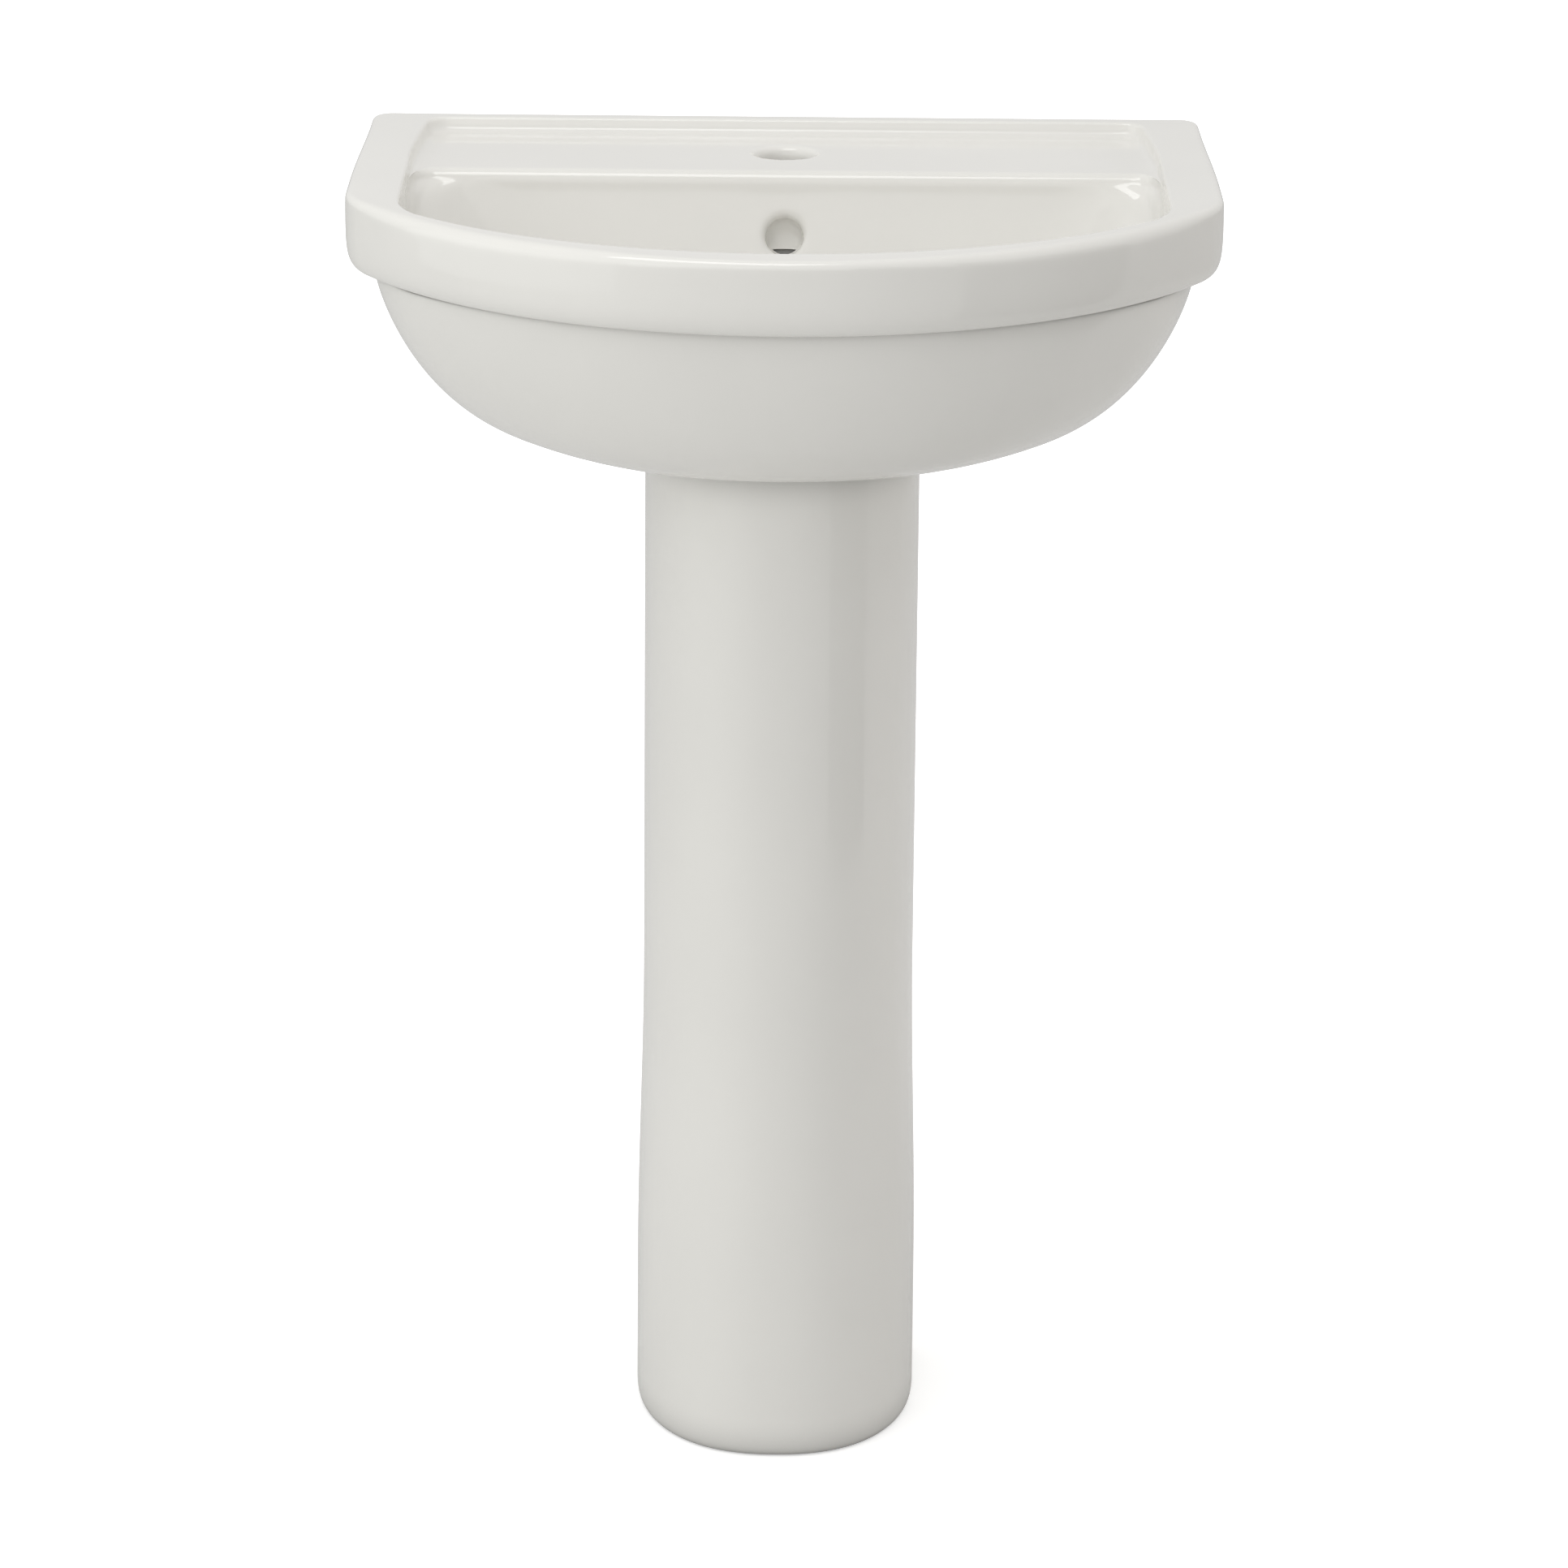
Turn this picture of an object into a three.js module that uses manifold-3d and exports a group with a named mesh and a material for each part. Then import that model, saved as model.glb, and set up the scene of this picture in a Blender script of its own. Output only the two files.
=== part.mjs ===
// Pedestal wash basin: a D-shaped vitreous-china basin with one tap hole and an
// overflow, on a full pedestal that hides a click-clack waste, a bottle trap and
// the waste pipe. Millimetres, +Z up, front towards -Y. The pieces are built with
// the wall at y = 0 and the floor at z = 0; the whole is then shifted so that the
// origin is on the floor under the middle of the basin's plan.
import * as THREE from 'three';
import { mergeVertices } from 'three/addons/utils/BufferGeometryUtils.js';
import Module from 'manifold-3d';

const wasm = await Module();
wasm.setup();

// Driving dimensions
const WIDTH = 550;
const DEPTH = 440;
const HEIGHT = 820;
const SEAT_HEIGHT = 657; // floor to the pedestal's top, where the basin rests
const GAP = 0.3; // clearance between touching castings
const CHINA = 11; // wall thickness of the basin casting
const BAND_HEIGHT = 46; // upright edge of the rim
const LEDGE_DEPTH = 16; // rim left standing along the wall
const DECK_DROP = 9; // tap deck below the rim
const DECK_FRONT = -134; // where the deck rolls into the bowl
const BOWL_DEPTH = 150; // rim to the waste
const BOWL_FALL = 6; // share of that depth in the floor's slope to the waste
const TAP_HOLE = { radius: 17.5, y: -72 };
const OVERFLOW_HOLE = { radius: 12, y: -147, z: HEIGHT - 49, tilt: Math.PI / 9 };
const WASTE = { y: -226, holeRadius: 23, recessRadius: 33, recessDepth: 4.5 };
const WALL_FIXING = { spacing: 280, z: HEIGHT - 95, radius: 6.5 };
const PEDESTAL = { middle: -180, halfWidth: 88, frontDepth: 131, back: -120, wall: 10, power: 2.3 };
const TRAP_OUTLET_Z = 530;
const ROUND = 32; // facets of the turned pieces

// ---- Solids ---------------------------------------------------------------

// A closed mesh becomes a solid that can be joined and cut.
function solidOf(geometry) {
  const bare = geometry.clone();
  bare.deleteAttribute('normal');
  bare.deleteAttribute('uv');
  const merged = mergeVertices(bare, 1e-3);
  return new wasm.Manifold(new wasm.Mesh({
    numProp: 3,
    vertProperties: new Float32Array(merged.attributes.position.array),
    triVerts: new Uint32Array(merged.index.array),
  }));
}

function geometryOf(solid) {
  const mesh = solid.getMesh();
  const geometry = new THREE.BufferGeometry();
  geometry.setAttribute('position', new THREE.BufferAttribute(mesh.vertProperties, 3));
  geometry.setIndex(new THREE.BufferAttribute(mesh.triVerts, 1));
  return geometry;
}

function cut(solid, ...tools) {
  return tools.reduce((left, tool) => left.subtract(tool), solid);
}

function join(solid, ...others) {
  return others.reduce((whole, other) => whole.add(other), solid);
}

// A loft through level rings, listed from the lowest up. Every ring has the same
// number of points, anticlockwise seen from above, and mirrored facets left and
// right.
function loft(rings) {
  const count = rings[0].length;
  const index = [];
  for (let level = 0; level < rings.length - 1; level += 1) {
    for (let i = 0; i < count; i += 1) {
      const here = level * count + i;
      const next = level * count + ((i + 1) % count);
      if (i < count / 2) index.push(here, next, next + count, here, next + count, here + count);
      else index.push(here, next, here + count, next, next + count, here + count);
    }
  }
  const top = (rings.length - 1) * count;
  for (const [a, b, c] of capFaces(rings[0])) index.push(a, c, b);
  for (const [a, b, c] of capFaces(rings[rings.length - 1])) index.push(top + a, top + b, top + c);
  const positions = rings.flat().flatMap((point) => [point.x, point.y, point.z]);
  const geometry = new THREE.BufferGeometry();
  geometry.setAttribute('position', new THREE.BufferAttribute(new Float32Array(positions), 3));
  geometry.setIndex(index);
  return solidOf(geometry);
}

function capFaces(ring) {
  return THREE.ShapeUtils.triangulateShape(ring.map((point) => new THREE.Vector2(point.x, point.y)), []);
}

function box(x0, x1, y0, y1, z0, z1) {
  const geometry = new THREE.BoxGeometry(x1 - x0, y1 - y0, z1 - z0);
  geometry.translate((x0 + x1) / 2, (y0 + y1) / 2, (z0 + z1) / 2);
  return solidOf(geometry);
}

// A profile of [radius, height] points turned about a vertical axis. It closes on
// itself where it doesn't start and end on the axis.
function turned(profile, segments = ROUND) {
  const points = profile.map(([radius, height]) => new THREE.Vector2(radius, height));
  const onAxis = profile[0][0] === 0 && profile[profile.length - 1][0] === 0;
  if (!onAxis) points.push(points[0].clone());
  const geometry = new THREE.LatheGeometry(points, segments);
  geometry.rotateX(Math.PI / 2);
  return geometry;
}

// A plain ring or washer between two heights.
function ringProfile(inner, outer, z0, z1) {
  return [[inner, z0], [outer, z0], [outer, z1], [inner, z1]];
}

function rod(radius, z0, z1, segments = ROUND) {
  return solidOf(turned([[0, z0], [radius, z0], [radius, z1], [0, z1]], segments));
}

// The same rod along +Y, from y0 to y1 at a given height.
function rodAlongY(radius, y0, y1, z, x = 0, segments = ROUND) {
  const geometry = turned([[0, 0], [radius, 0], [radius, y1 - y0], [0, y1 - y0]], segments);
  geometry.rotateX(-Math.PI / 2);
  geometry.translate(x, y0, z);
  return solidOf(geometry);
}

// ---- Plan outlines --------------------------------------------------------

// The basin's D: a shallow front arc, a corner arc tangent to it and a straight
// side back to the wall. Returns the right half, from the front's middle to the
// back corner; a back radius above zero rounds that corner.
const FRONT_STEPS = 9;
const CORNER_STEPS = 6;
const SIDE_STEPS = 4;
const BACK_STEPS = 4;

function halfD({ halfWidth, front, frontRadius, cornerRadius, back = 0, backRadius = 0 }) {
  const arcCentre = front + frontRadius;
  const cornerX = halfWidth - cornerRadius;
  const cornerY = arcCentre - Math.sqrt((frontRadius - cornerRadius) ** 2 - cornerX ** 2);
  const meeting = Math.atan2(cornerX, arcCentre - cornerY);
  const points = [];
  for (let i = 0; i < FRONT_STEPS; i += 1) {
    const angle = (meeting * i) / FRONT_STEPS;
    points.push([frontRadius * Math.sin(angle), arcCentre - frontRadius * Math.cos(angle)]);
  }
  for (let i = 0; i < CORNER_STEPS; i += 1) {
    const angle = meeting + ((Math.PI / 2 - meeting) * i) / CORNER_STEPS;
    points.push([cornerX + cornerRadius * Math.sin(angle), cornerY - cornerRadius * Math.cos(angle)]);
  }
  const sideEnd = back - backRadius;
  for (let i = 0; i < SIDE_STEPS; i += 1) {
    points.push([halfWidth, cornerY + ((sideEnd - cornerY) * i) / SIDE_STEPS]);
  }
  if (backRadius === 0) return [...points, [halfWidth, back]];
  for (let i = 0; i <= BACK_STEPS; i += 1) {
    const angle = ((Math.PI / 2) * i) / BACK_STEPS;
    points.push([halfWidth - backRadius * (1 - Math.cos(angle)), sideEnd + backRadius * Math.sin(angle)]);
  }
  return points;
}

// The sides draw in a little towards the wall.
function drawnIn(points, share) {
  const start = -200;
  return points.map(([x, y]) => {
    const run = THREE.MathUtils.clamp((y - start) / -start, 0, 1);
    return [x * (1 - share * run * run), y];
  });
}

// A full ring from a right half, at a height: right side first, then the left
// side mirrored back to the front's middle.
function ringAt(half, z) {
  const right = half.map(([x, y]) => new THREE.Vector3(x, y, z));
  const left = half.slice(1).reverse().map(([x, y]) => new THREE.Vector3(-x, y, z));
  return [...right, ...left];
}

// The pedestal's U: a superellipse in front of its middle line, with straight
// sides behind it. Radial distance in a direction measured from straight ahead.
function pedestalRadius(angle, halfWidth, depth) {
  const across = Math.abs(Math.sin(angle)) / halfWidth;
  const along = Math.abs(Math.cos(angle)) / depth;
  return (across ** PEDESTAL.power + along ** PEDESTAL.power) ** (-1 / PEDESTAL.power);
}

function halfU(halfWidth, depth, back) {
  const steps = 12;
  const points = [];
  for (let i = 0; i <= steps; i += 1) {
    const angle = ((Math.PI / 2) * i) / steps;
    const radius = pedestalRadius(angle, halfWidth, depth);
    points.push([radius * Math.sin(angle), PEDESTAL.middle - radius * Math.cos(angle)]);
  }
  points.push([halfWidth, back]);
  return points;
}

// ---- Basin ----------------------------------------------------------------

// The rim's outline drawn in by a distance all round, except along the wall.
function rimOutline(inset) {
  const half = halfD({
    halfWidth: WIDTH / 2 - inset,
    front: -DEPTH + inset,
    frontRadius: 300 - inset,
    cornerRadius: 87 - inset,
  });
  return drawnIn(half, 0.008);
}

// The bowl's underside sweeps from this outline below the band ...
function shoulderOutline(inset) {
  const half = halfD({
    halfWidth: 257 - inset,
    front: -426 + inset,
    frontRadius: 300 - inset,
    cornerRadius: 128 - inset,
  });
  return drawnIn(half, 0.008);
}

// ... to the flat seat over the pedestal, whose outline lies in the same
// direction from the pedestal's middle as each point above it.
function seatPoint([x, y], inset) {
  const halfWidth = 112 - inset;
  if (y > PEDESTAL.middle) return [halfWidth, y];
  const angle = Math.atan2(x, PEDESTAL.middle - y);
  const radius = pedestalRadius(angle, halfWidth, 134 - inset);
  return [radius * Math.sin(angle), PEDESTAL.middle - radius * Math.cos(angle)];
}

const SWEEP_STEPS = 9;

// Rings of the underside from the seat up to the band, drawn in and raised by an
// inset.
function sweepRings(inset) {
  const upper = shoulderOutline(inset);
  const shoulderZ = HEIGHT - BAND_HEIGHT;
  const rings = [];
  for (let i = SWEEP_STEPS; i >= 0; i -= 1) {
    const t = ((Math.PI / 2) * i) / SWEEP_STEPS;
    const spread = Math.cos(t) ** 0.72;
    const z = shoulderZ - (shoulderZ - SEAT_HEIGHT - inset) * Math.sin(t) ** 1.5;
    const half = upper.map((point) => {
      const [seatX, seatY] = seatPoint(point, inset);
      return [seatX + (point[0] - seatX) * spread, seatY + (point[1] - seatY) * spread];
    });
    rings.push(ringAt(half, z));
  }
  return rings;
}

// The upright band round the rim: a tight bottom roll, a flat face and a rounded
// top edge, as [inset, depth below the rim].
const BAND_PROFILE = [
  [13, 46], [7, 45], [3, 41.5], [1, 35], [0, 20], [0, 6], [1.5, 1.8], [5, 0],
];

function basinBody() {
  const band = BAND_PROFILE.map(([inset, drop]) => ringAt(rimOutline(inset), HEIGHT - drop));
  return loft([...sweepRings(0), ...band]);
}

// The opening inside the rim, with its sides running back to the ledge.
function innerOutline(inset, back, backRadius) {
  const half = halfD({
    halfWidth: 240 - inset,
    front: -414 + inset,
    frontRadius: 305 - inset,
    cornerRadius: 85 - inset,
    back,
    backRadius,
  });
  return drawnIn(half, 0.045);
}

// The rim's inner edge is rounded over, as [distance out, drop] from the bowl up.
const INNER_EDGE = [[0, 3], [0.9, 0.9], [3, 0], [4, -2]];

// The sunken tap deck between the ledge and the bowl.
function deckRecess() {
  const fillet = [[-2.5, DECK_DROP], [-0.8, DECK_DROP - 1], [0, DECK_DROP - 3]];
  const rings = [...fillet, ...INNER_EDGE].map(([out, drop]) => (
    ringAt(innerOutline(-out, out - LEDGE_DEPTH, 12), HEIGHT - drop)
  ));
  const inFrontOfBowl = box(-WIDTH, WIDTH, -DEPTH, DECK_FRONT - 8, 0, HEIGHT + 10);
  return cut(loft(rings), inFrontOfBowl);
}

// What the deck's front edge loses where it rolls over into the bowl.
function deckRoll() {
  const deck = HEIGHT - DECK_DROP;
  const corner = sideProfile([
    [DECK_FRONT + 4.5, deck], [DECK_FRONT + 1.5, deck - 0.9], [DECK_FRONT - 0.5, deck - 3],
    [DECK_FRONT - 1.8, deck - 6.5], [DECK_FRONT - 8, deck - 6.5], [DECK_FRONT - 8, deck + 2],
    [DECK_FRONT + 4.5, deck + 2],
  ], WIDTH / 2);
  const between = loft([deck - 10, deck + 4].map((z) => ringAt(innerOutline(0, -LEDGE_DEPTH, 12), z)));
  return corner.intersect(between);
}

// The bowl narrows from the opening to the waste on superellipses, full at the
// front and sides and steeper along the back, and its back corners open out into
// wide rounds halfway down.
const BOWL_STEPS = 10;

function superellipse(share, power) {
  return (1 - share ** power) ** (1 / power);
}

function bowlOutline(share, expand) {
  const spread = superellipse(share, 3);
  const throat = WASTE.recessRadius + 1;
  const halfWidth = THREE.MathUtils.lerp(throat, 240, spread) + expand;
  const front = THREE.MathUtils.lerp(WASTE.y - throat, -414, spread) - expand;
  const back = THREE.MathUtils.lerp(WASTE.y + throat, DECK_FRONT, superellipse(share, 1.35)) + expand;
  const half = halfD({
    halfWidth,
    front,
    back,
    frontRadius: THREE.MathUtils.lerp(throat + 1, 305, spread) + expand,
    cornerRadius: THREE.MathUtils.lerp(throat - 1, 85, spread) + expand,
    backRadius: THREE.MathUtils.lerp(14, throat - 1, share) + 42 * Math.sin(Math.PI * share),
  });
  return drawnIn(half, 0.045 * spread);
}

function bowlSolid(expand) {
  const drop = BOWL_DEPTH - BOWL_FALL + expand;
  const rings = [];
  for (let i = BOWL_STEPS; i > 0; i -= 1) {
    const share = Math.sin(((Math.PI / 2) * i) / BOWL_STEPS);
    const fall = BOWL_FALL * (1 - superellipse(share, 3));
    rings.push(ringAt(bowlOutline(share, expand), HEIGHT - drop * share - fall));
  }
  const edge = INNER_EDGE.map(([out, depth]) => ringAt(bowlOutline(0, expand + out), HEIGHT - depth));
  return loft([...rings, ...edge]);
}

// A shape in the side plane (y, z), given across x from -half to +half.
function sideProfile(outline, half) {
  const shape = new THREE.Shape(outline.map(([y, z]) => new THREE.Vector2(y, z)));
  const geometry = new THREE.ExtrudeGeometry(shape, { depth: 2 * half, bevelEnabled: false });
  geometry.applyMatrix4(new THREE.Matrix4().makeBasis(
    new THREE.Vector3(0, 1, 0), new THREE.Vector3(0, 0, 1), new THREE.Vector3(1, 0, 0),
  ));
  geometry.translate(-half, 0, 0);
  return solidOf(geometry);
}

// The overflow runs down a rib cast behind the bowl and into the waste hole: the
// middle line of its passage from the top down, as [y, z].
const OVERFLOW_LINE = [[-119, 793], [-131, 756], [-147, 712], [-164, 678], [-168, 653]];
const OVERFLOW_WIDTH = 36;
const OVERFLOW_THICKNESS = 10;

// The passage, or with a casing round it the rib.
function overflowRun(casing) {
  const reach = OVERFLOW_THICKNESS / 2 + casing;
  const last = OVERFLOW_LINE.length - 1;
  const line = OVERFLOW_LINE.map(([y, z], i) => [y, z + (i === 0 ? casing : 0)]);
  const [footY, footZ] = line[last];
  const front = line.slice(0, last).map(([y, z]) => [y - reach, z]);
  const rear = line.slice(0, last).map(([y, z]) => [y + reach, z]).reverse();
  return sideProfile([
    ...front,
    [footY - reach, footZ + reach], [WASTE.y, footZ + reach],
    [WASTE.y, footZ - reach], [footY + reach, footZ - reach],
    ...rear,
  ], OVERFLOW_WIDTH / 2 + casing);
}

// The round hole from the bowl into the top of the passage, with a soft lip.
function overflowPunch() {
  const { radius, y, z, tilt } = OVERFLOW_HOLE;
  const lip = radius + 5;
  const geometry = turned([
    [0, -14], [lip, -14], [lip, 1.5], [radius + 1.8, 3.8], [radius, 7], [radius, 20], [0, 20],
  ], 24);
  geometry.rotateX(-Math.PI / 2 - tilt);
  geometry.translate(0, y, z);
  return solidOf(geometry);
}

// The tap hole with its rounded lip.
function tapHole() {
  const { radius, y } = TAP_HOLE;
  const deck = HEIGHT - DECK_DROP;
  return solidOf(turned([
    [0, deck - 60], [radius, deck - 60], [radius, deck - 4.5], [radius + 1.5, deck - 1.4],
    [radius + 5, deck], [radius + 6, deck + 5], [0, deck + 5],
  ])).translate([0, y, 0]);
}

// The hollow behind the bowl, open downwards and through the back wall, which
// keeps the two wall fixings.
function rearHollow() {
  const deckUnderside = HEIGHT - DECK_DROP - CHINA;
  const shell = loft([...sweepRings(CHINA), ringAt(rimOutline(CHINA + 2), deckUnderside)]);
  const behindBowl = box(-WIDTH, WIDTH, -165, -CHINA, 0, HEIGHT);
  const hollow = cut(shell.intersect(behindBowl), bowlSolid(CHINA));
  const hatch = cut(box(-78, 78, -160, -CHINA, 0, 700), bowlSolid(CHINA));
  const wallNotch = box(-108, 108, -CHINA - 1, 1, 0, HEIGHT - 62);
  return join(hollow, hatch, wallNotch);
}

function basin() {
  const floor = HEIGHT - BOWL_DEPTH;
  const overWaste = (solid) => solid.translate([0, WASTE.y, 0]);
  const boss = overWaste(rod(37, SEAT_HEIGHT - 26, floor - 6));
  const holes = [
    overWaste(rod(WASTE.holeRadius, 0, HEIGHT)),
    overWaste(rod(WASTE.recessRadius, floor - WASTE.recessDepth, HEIGHT)),
    tapHole(),
    overflowRun(0),
    overflowPunch(),
  ];
  for (const side of [-1, 1]) {
    holes.push(rodAlongY(WALL_FIXING.radius, -60, 5, WALL_FIXING.z, (side * WALL_FIXING.spacing) / 2, 24));
  }
  const cast = cut(join(basinBody(), boss), deckRecess(), deckRoll(), bowlSolid(0), rearHollow());
  return cut(join(cast, overflowRun(8)), ...holes);
}

// ---- Pedestal -------------------------------------------------------------

// Half-width of the column: slim above, flaring softly to the foot.
function columnSpread(z) {
  return 3.5 * (1 - THREE.MathUtils.smoothstep(z, 100, 300));
}

function columnRing(z, inset, back) {
  const spread = columnSpread(z);
  const halfWidth = PEDESTAL.halfWidth + spread - inset;
  const depth = PEDESTAL.frontDepth + spread * 1.5 - inset;
  return ringAt(halfU(halfWidth, depth, back), z);
}

const COLUMN_LEVELS = [0, 60, 100, 135, 170, 200, 230, 265, 300, 420, 540];

function pedestal() {
  const top = SEAT_HEIGHT - GAP;
  const edge = 2; // rounding of the foot and the top
  const outer = loft([
    columnRing(0, edge, PEDESTAL.back), columnRing(edge, 0.4, PEDESTAL.back),
    ...COLUMN_LEVELS.slice(1).map((z) => columnRing(z, 0, PEDESTAL.back)),
    columnRing(top - edge, 0, PEDESTAL.back), columnRing(top, edge, PEDESTAL.back),
  ]);
  const shelf = 12;
  const returnEdge = PEDESTAL.back - 9;
  const levels = [shelf, ...COLUMN_LEVELS.slice(1), top - shelf];
  const hollow = loft(levels.map((z) => columnRing(z, PEDESTAL.wall, returnEdge)));
  const backGap = box(-66, 66, returnEdge - 5, PEDESTAL.back + 5, -5, top + 5);
  const throat = loft([-5, top + 5].map((z) => ringAt(halfU(60, 102, returnEdge), z)));
  const screwHoles = [-1, 1].map((side) => rod(4, -5, shelf + 5, 16).translate([side * 71.5, -150, 0]));
  return cut(outer, hollow, backGap, throat, ...screwHoles);
}

// ---- Click-clack waste ----------------------------------------------------

const FLANGE_TOP = HEIGHT - BOWL_DEPTH - 0.5;
const FLANGE_SEAT = HEIGHT - BOWL_DEPTH - WASTE.recessDepth + 1.5;
const TAIL_END = 580;
const BOSS_END = SEAT_HEIGHT - 26;
const TAIL_RADIUS = 20.9;
const PLUG_TRAVEL = 9;
const PLUG_Z = FLANGE_TOP - 1.4 + PLUG_TRAVEL; // underside of the cap's edge, plug up
const BRIDGE_Z = 640;

// Flange, tail with its two overflow slots, and the bridge that carries the
// cartridge, cast in one.
function wasteBody() {
  const shell = solidOf(turned([
    [17.8, TAIL_END], [TAIL_RADIUS, TAIL_END], [TAIL_RADIUS, FLANGE_SEAT], [32, FLANGE_SEAT],
    [32, FLANGE_TOP - 0.8], [31, FLANGE_TOP], [22.5, FLANGE_TOP - 0.6], [19.6, FLANGE_TOP - 2.3],
    [17.8, FLANGE_TOP - 6],
  ]));
  const bridge = join(box(-18.5, 18.5, -3, 3, BRIDGE_Z, BRIDGE_Z + 6), rod(7.5, BRIDGE_Z, BRIDGE_Z + 6));
  const slot = box(-9, 9, -30, 30, BRIDGE_Z + 8, BRIDGE_Z + 20);
  const socket = rod(5.2, BRIDGE_Z - 5, BRIDGE_Z + 10, 24);
  return cut(join(shell, bridge), slot, socket);
}

// The cartridge stands through the bridge and holds the latch and its spring.
function cartridge() {
  return turned([
    [2.6, BRIDGE_Z - 14], [5, BRIDGE_Z - 14], [5, BRIDGE_Z + 6.3], [6.5, BRIDGE_Z + 6.3],
    [6.5, BRIDGE_Z + 12], [2.6, BRIDGE_Z + 12],
  ], 24);
}

function plugStem() {
  return turned([
    [0, BRIDGE_Z - 12], [2.4, BRIDGE_Z - 12], [2.4, PLUG_Z - 1.5], [0, PLUG_Z - 1.5],
  ], 16);
}

function plugCap() {
  const z = PLUG_Z;
  return turned([
    [0, z - 1.2], [16, z - 1.2], [16, z + 0.6], [20.5, z + 0.6], [21.5, z + 2],
    [20, z + 3.4], [14, z + 4.6], [7, z + 5.2], [0, z + 5.4],
  ]);
}

// The seal rides in the step under the cap's edge.
function plugSeal() {
  const z = PLUG_Z;
  return turned([[16.3, z - 1], [19.4, z - 1], [20.2, z - 0.2], [20.2, z + 0.3], [16.3, z + 0.3]]);
}

function topWasher() {
  return turned(ringProfile(TAIL_RADIUS + 0.4, 31.5, FLANGE_SEAT - 1.2, FLANGE_SEAT - 0.3));
}

function lowerWasher() {
  return turned([
    [TAIL_RADIUS + 0.3, BOSS_END - 9], [30, BOSS_END - 9], [34, BOSS_END - 6], [34, BOSS_END - 0.3],
    [TAIL_RADIUS + 0.3, BOSS_END - 0.3],
  ]);
}

function slipRing() {
  return turned(ringProfile(TAIL_RADIUS + 0.3, 31, BOSS_END - 11, BOSS_END - 9.3));
}

// A nut turned with a flange and cut to a number of flats.
function flattedNut(sides, across, flangeRadius, bore, z0, z1, flange) {
  const prism = new THREE.CylinderGeometry(across, across, z1 - z0 - flange, sides);
  prism.rotateX(Math.PI / 2);
  prism.translate(0, 0, (z0 + z1 - flange) / 2);
  const collar = rod(flangeRadius, z1 - flange - 0.01, z1);
  return cut(join(solidOf(prism), collar), rod(bore, z0 - 1, z1 + 1));
}

function backNut() {
  const top = BOSS_END - 11.3;
  return flattedNut(6, 30, 31, TAIL_RADIUS + 0.3, top - 14, top, 3);
}

// ---- Bottle trap ----------------------------------------------------------

const TRAP_TOP = TAIL_END - 3;
const TRAP_SHOULDER = 552;
const CUP_TOP = 508;
const CUP_BOTTOM = 436;

// A coupling nut with ribs round its grip, bored in two steps, axis upright.
function ribbedNut(outer, lip, bore, z0, z1, ribs) {
  const ring = solidOf(turned([
    [bore, z0], [outer - 1.5, z0], [outer, z0 + 1.5], [outer, z1 - 4], [outer - 4, z1],
    [lip, z1], [lip, z1 - 3], [bore, z1 - 3],
  ]));
  const height = z1 - 5 - (z0 + 2);
  const bars = [];
  for (let i = 0; i < ribs; i += 1) {
    const bar = new THREE.CylinderGeometry(2, 2, height, 8);
    bar.rotateX(Math.PI / 2);
    const angle = (2 * Math.PI * i) / ribs;
    bar.translate(outer * Math.cos(angle), outer * Math.sin(angle), z0 + 2 + height / 2);
    bars.push(solidOf(bar));
  }
  return join(ring, ...bars);
}

function inletNut() {
  return ribbedNut(27.5, TAIL_RADIUS + 0.4, 25.4, TRAP_TOP - 14, TAIL_END + 8, 8);
}

function inletWasher() {
  return turned(ringProfile(18.5, 25, TRAP_TOP + 0.3, TAIL_END - 0.3));
}

// Inlet collar, head, the dip tube inside the cup and the outlet spigot.
function trapBody() {
  const head = turned([
    [15, 462], [17.5, 462], [17.5, CUP_TOP + 24], [27, CUP_TOP + 24], [27, CUP_TOP + 12],
    [26.4, CUP_TOP - 10], [29, CUP_TOP - 10], [29, CUP_TOP + 2], [32, CUP_TOP + 2],
    [32, CUP_TOP + 36], [28, TRAP_SHOULDER], [22, TRAP_SHOULDER + 4], [22, TRAP_TOP - 8],
    [25, TRAP_TOP - 6], [25, TRAP_TOP], [18.5, TRAP_TOP], [18.5, CUP_TOP + 32], [15, CUP_TOP + 28],
  ]);
  const spigot = rodAlongY(19, 28, 62, TRAP_OUTLET_Z);
  const way = rodAlongY(15.5, 22, 70, TRAP_OUTLET_Z);
  return cut(join(solidOf(head), spigot), way);
}

function trapCup() {
  return turned([
    [0, CUP_BOTTOM], [20, CUP_BOTTOM], [27, CUP_BOTTOM + 3], [30.5, CUP_BOTTOM + 10],
    [31, CUP_TOP - 14], [33, CUP_TOP - 12], [33, CUP_TOP], [29.4, CUP_TOP],
    [29.4, CUP_TOP - 11], [26, CUP_TOP - 14], [26, CUP_BOTTOM + 14], [23, CUP_BOTTOM + 6],
    [0, CUP_BOTTOM + 4],
  ]);
}

function cupSeal() {
  return turned(ringProfile(29.3, 32.5, CUP_TOP + 0.3, CUP_TOP + 1.7));
}

// Pieces on the outlet's axis are drawn upright and laid over, +Z to +Y.
function laidOver(geometry, y) {
  geometry.rotateX(-Math.PI / 2);
  geometry.translate(0, y, TRAP_OUTLET_Z);
  return geometry;
}

const SPIGOT_END = 62;

function outletNut() {
  const nut = geometryOf(ribbedNut(22.5, 16.6, 19.4, 0, 22, 8));
  return laidOver(nut, WASTE.y + SPIGOT_END - 16);
}

function outletWasher() {
  return laidOver(turned(ringProfile(16.4, 19, 0.3, 2.6)), WASTE.y + SPIGOT_END);
}

function wastePipe() {
  const start = WASTE.y + SPIGOT_END - 10;
  return laidOver(turned(ringProfile(13.5, 15.2, 0, -start - 2)), start);
}

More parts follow.
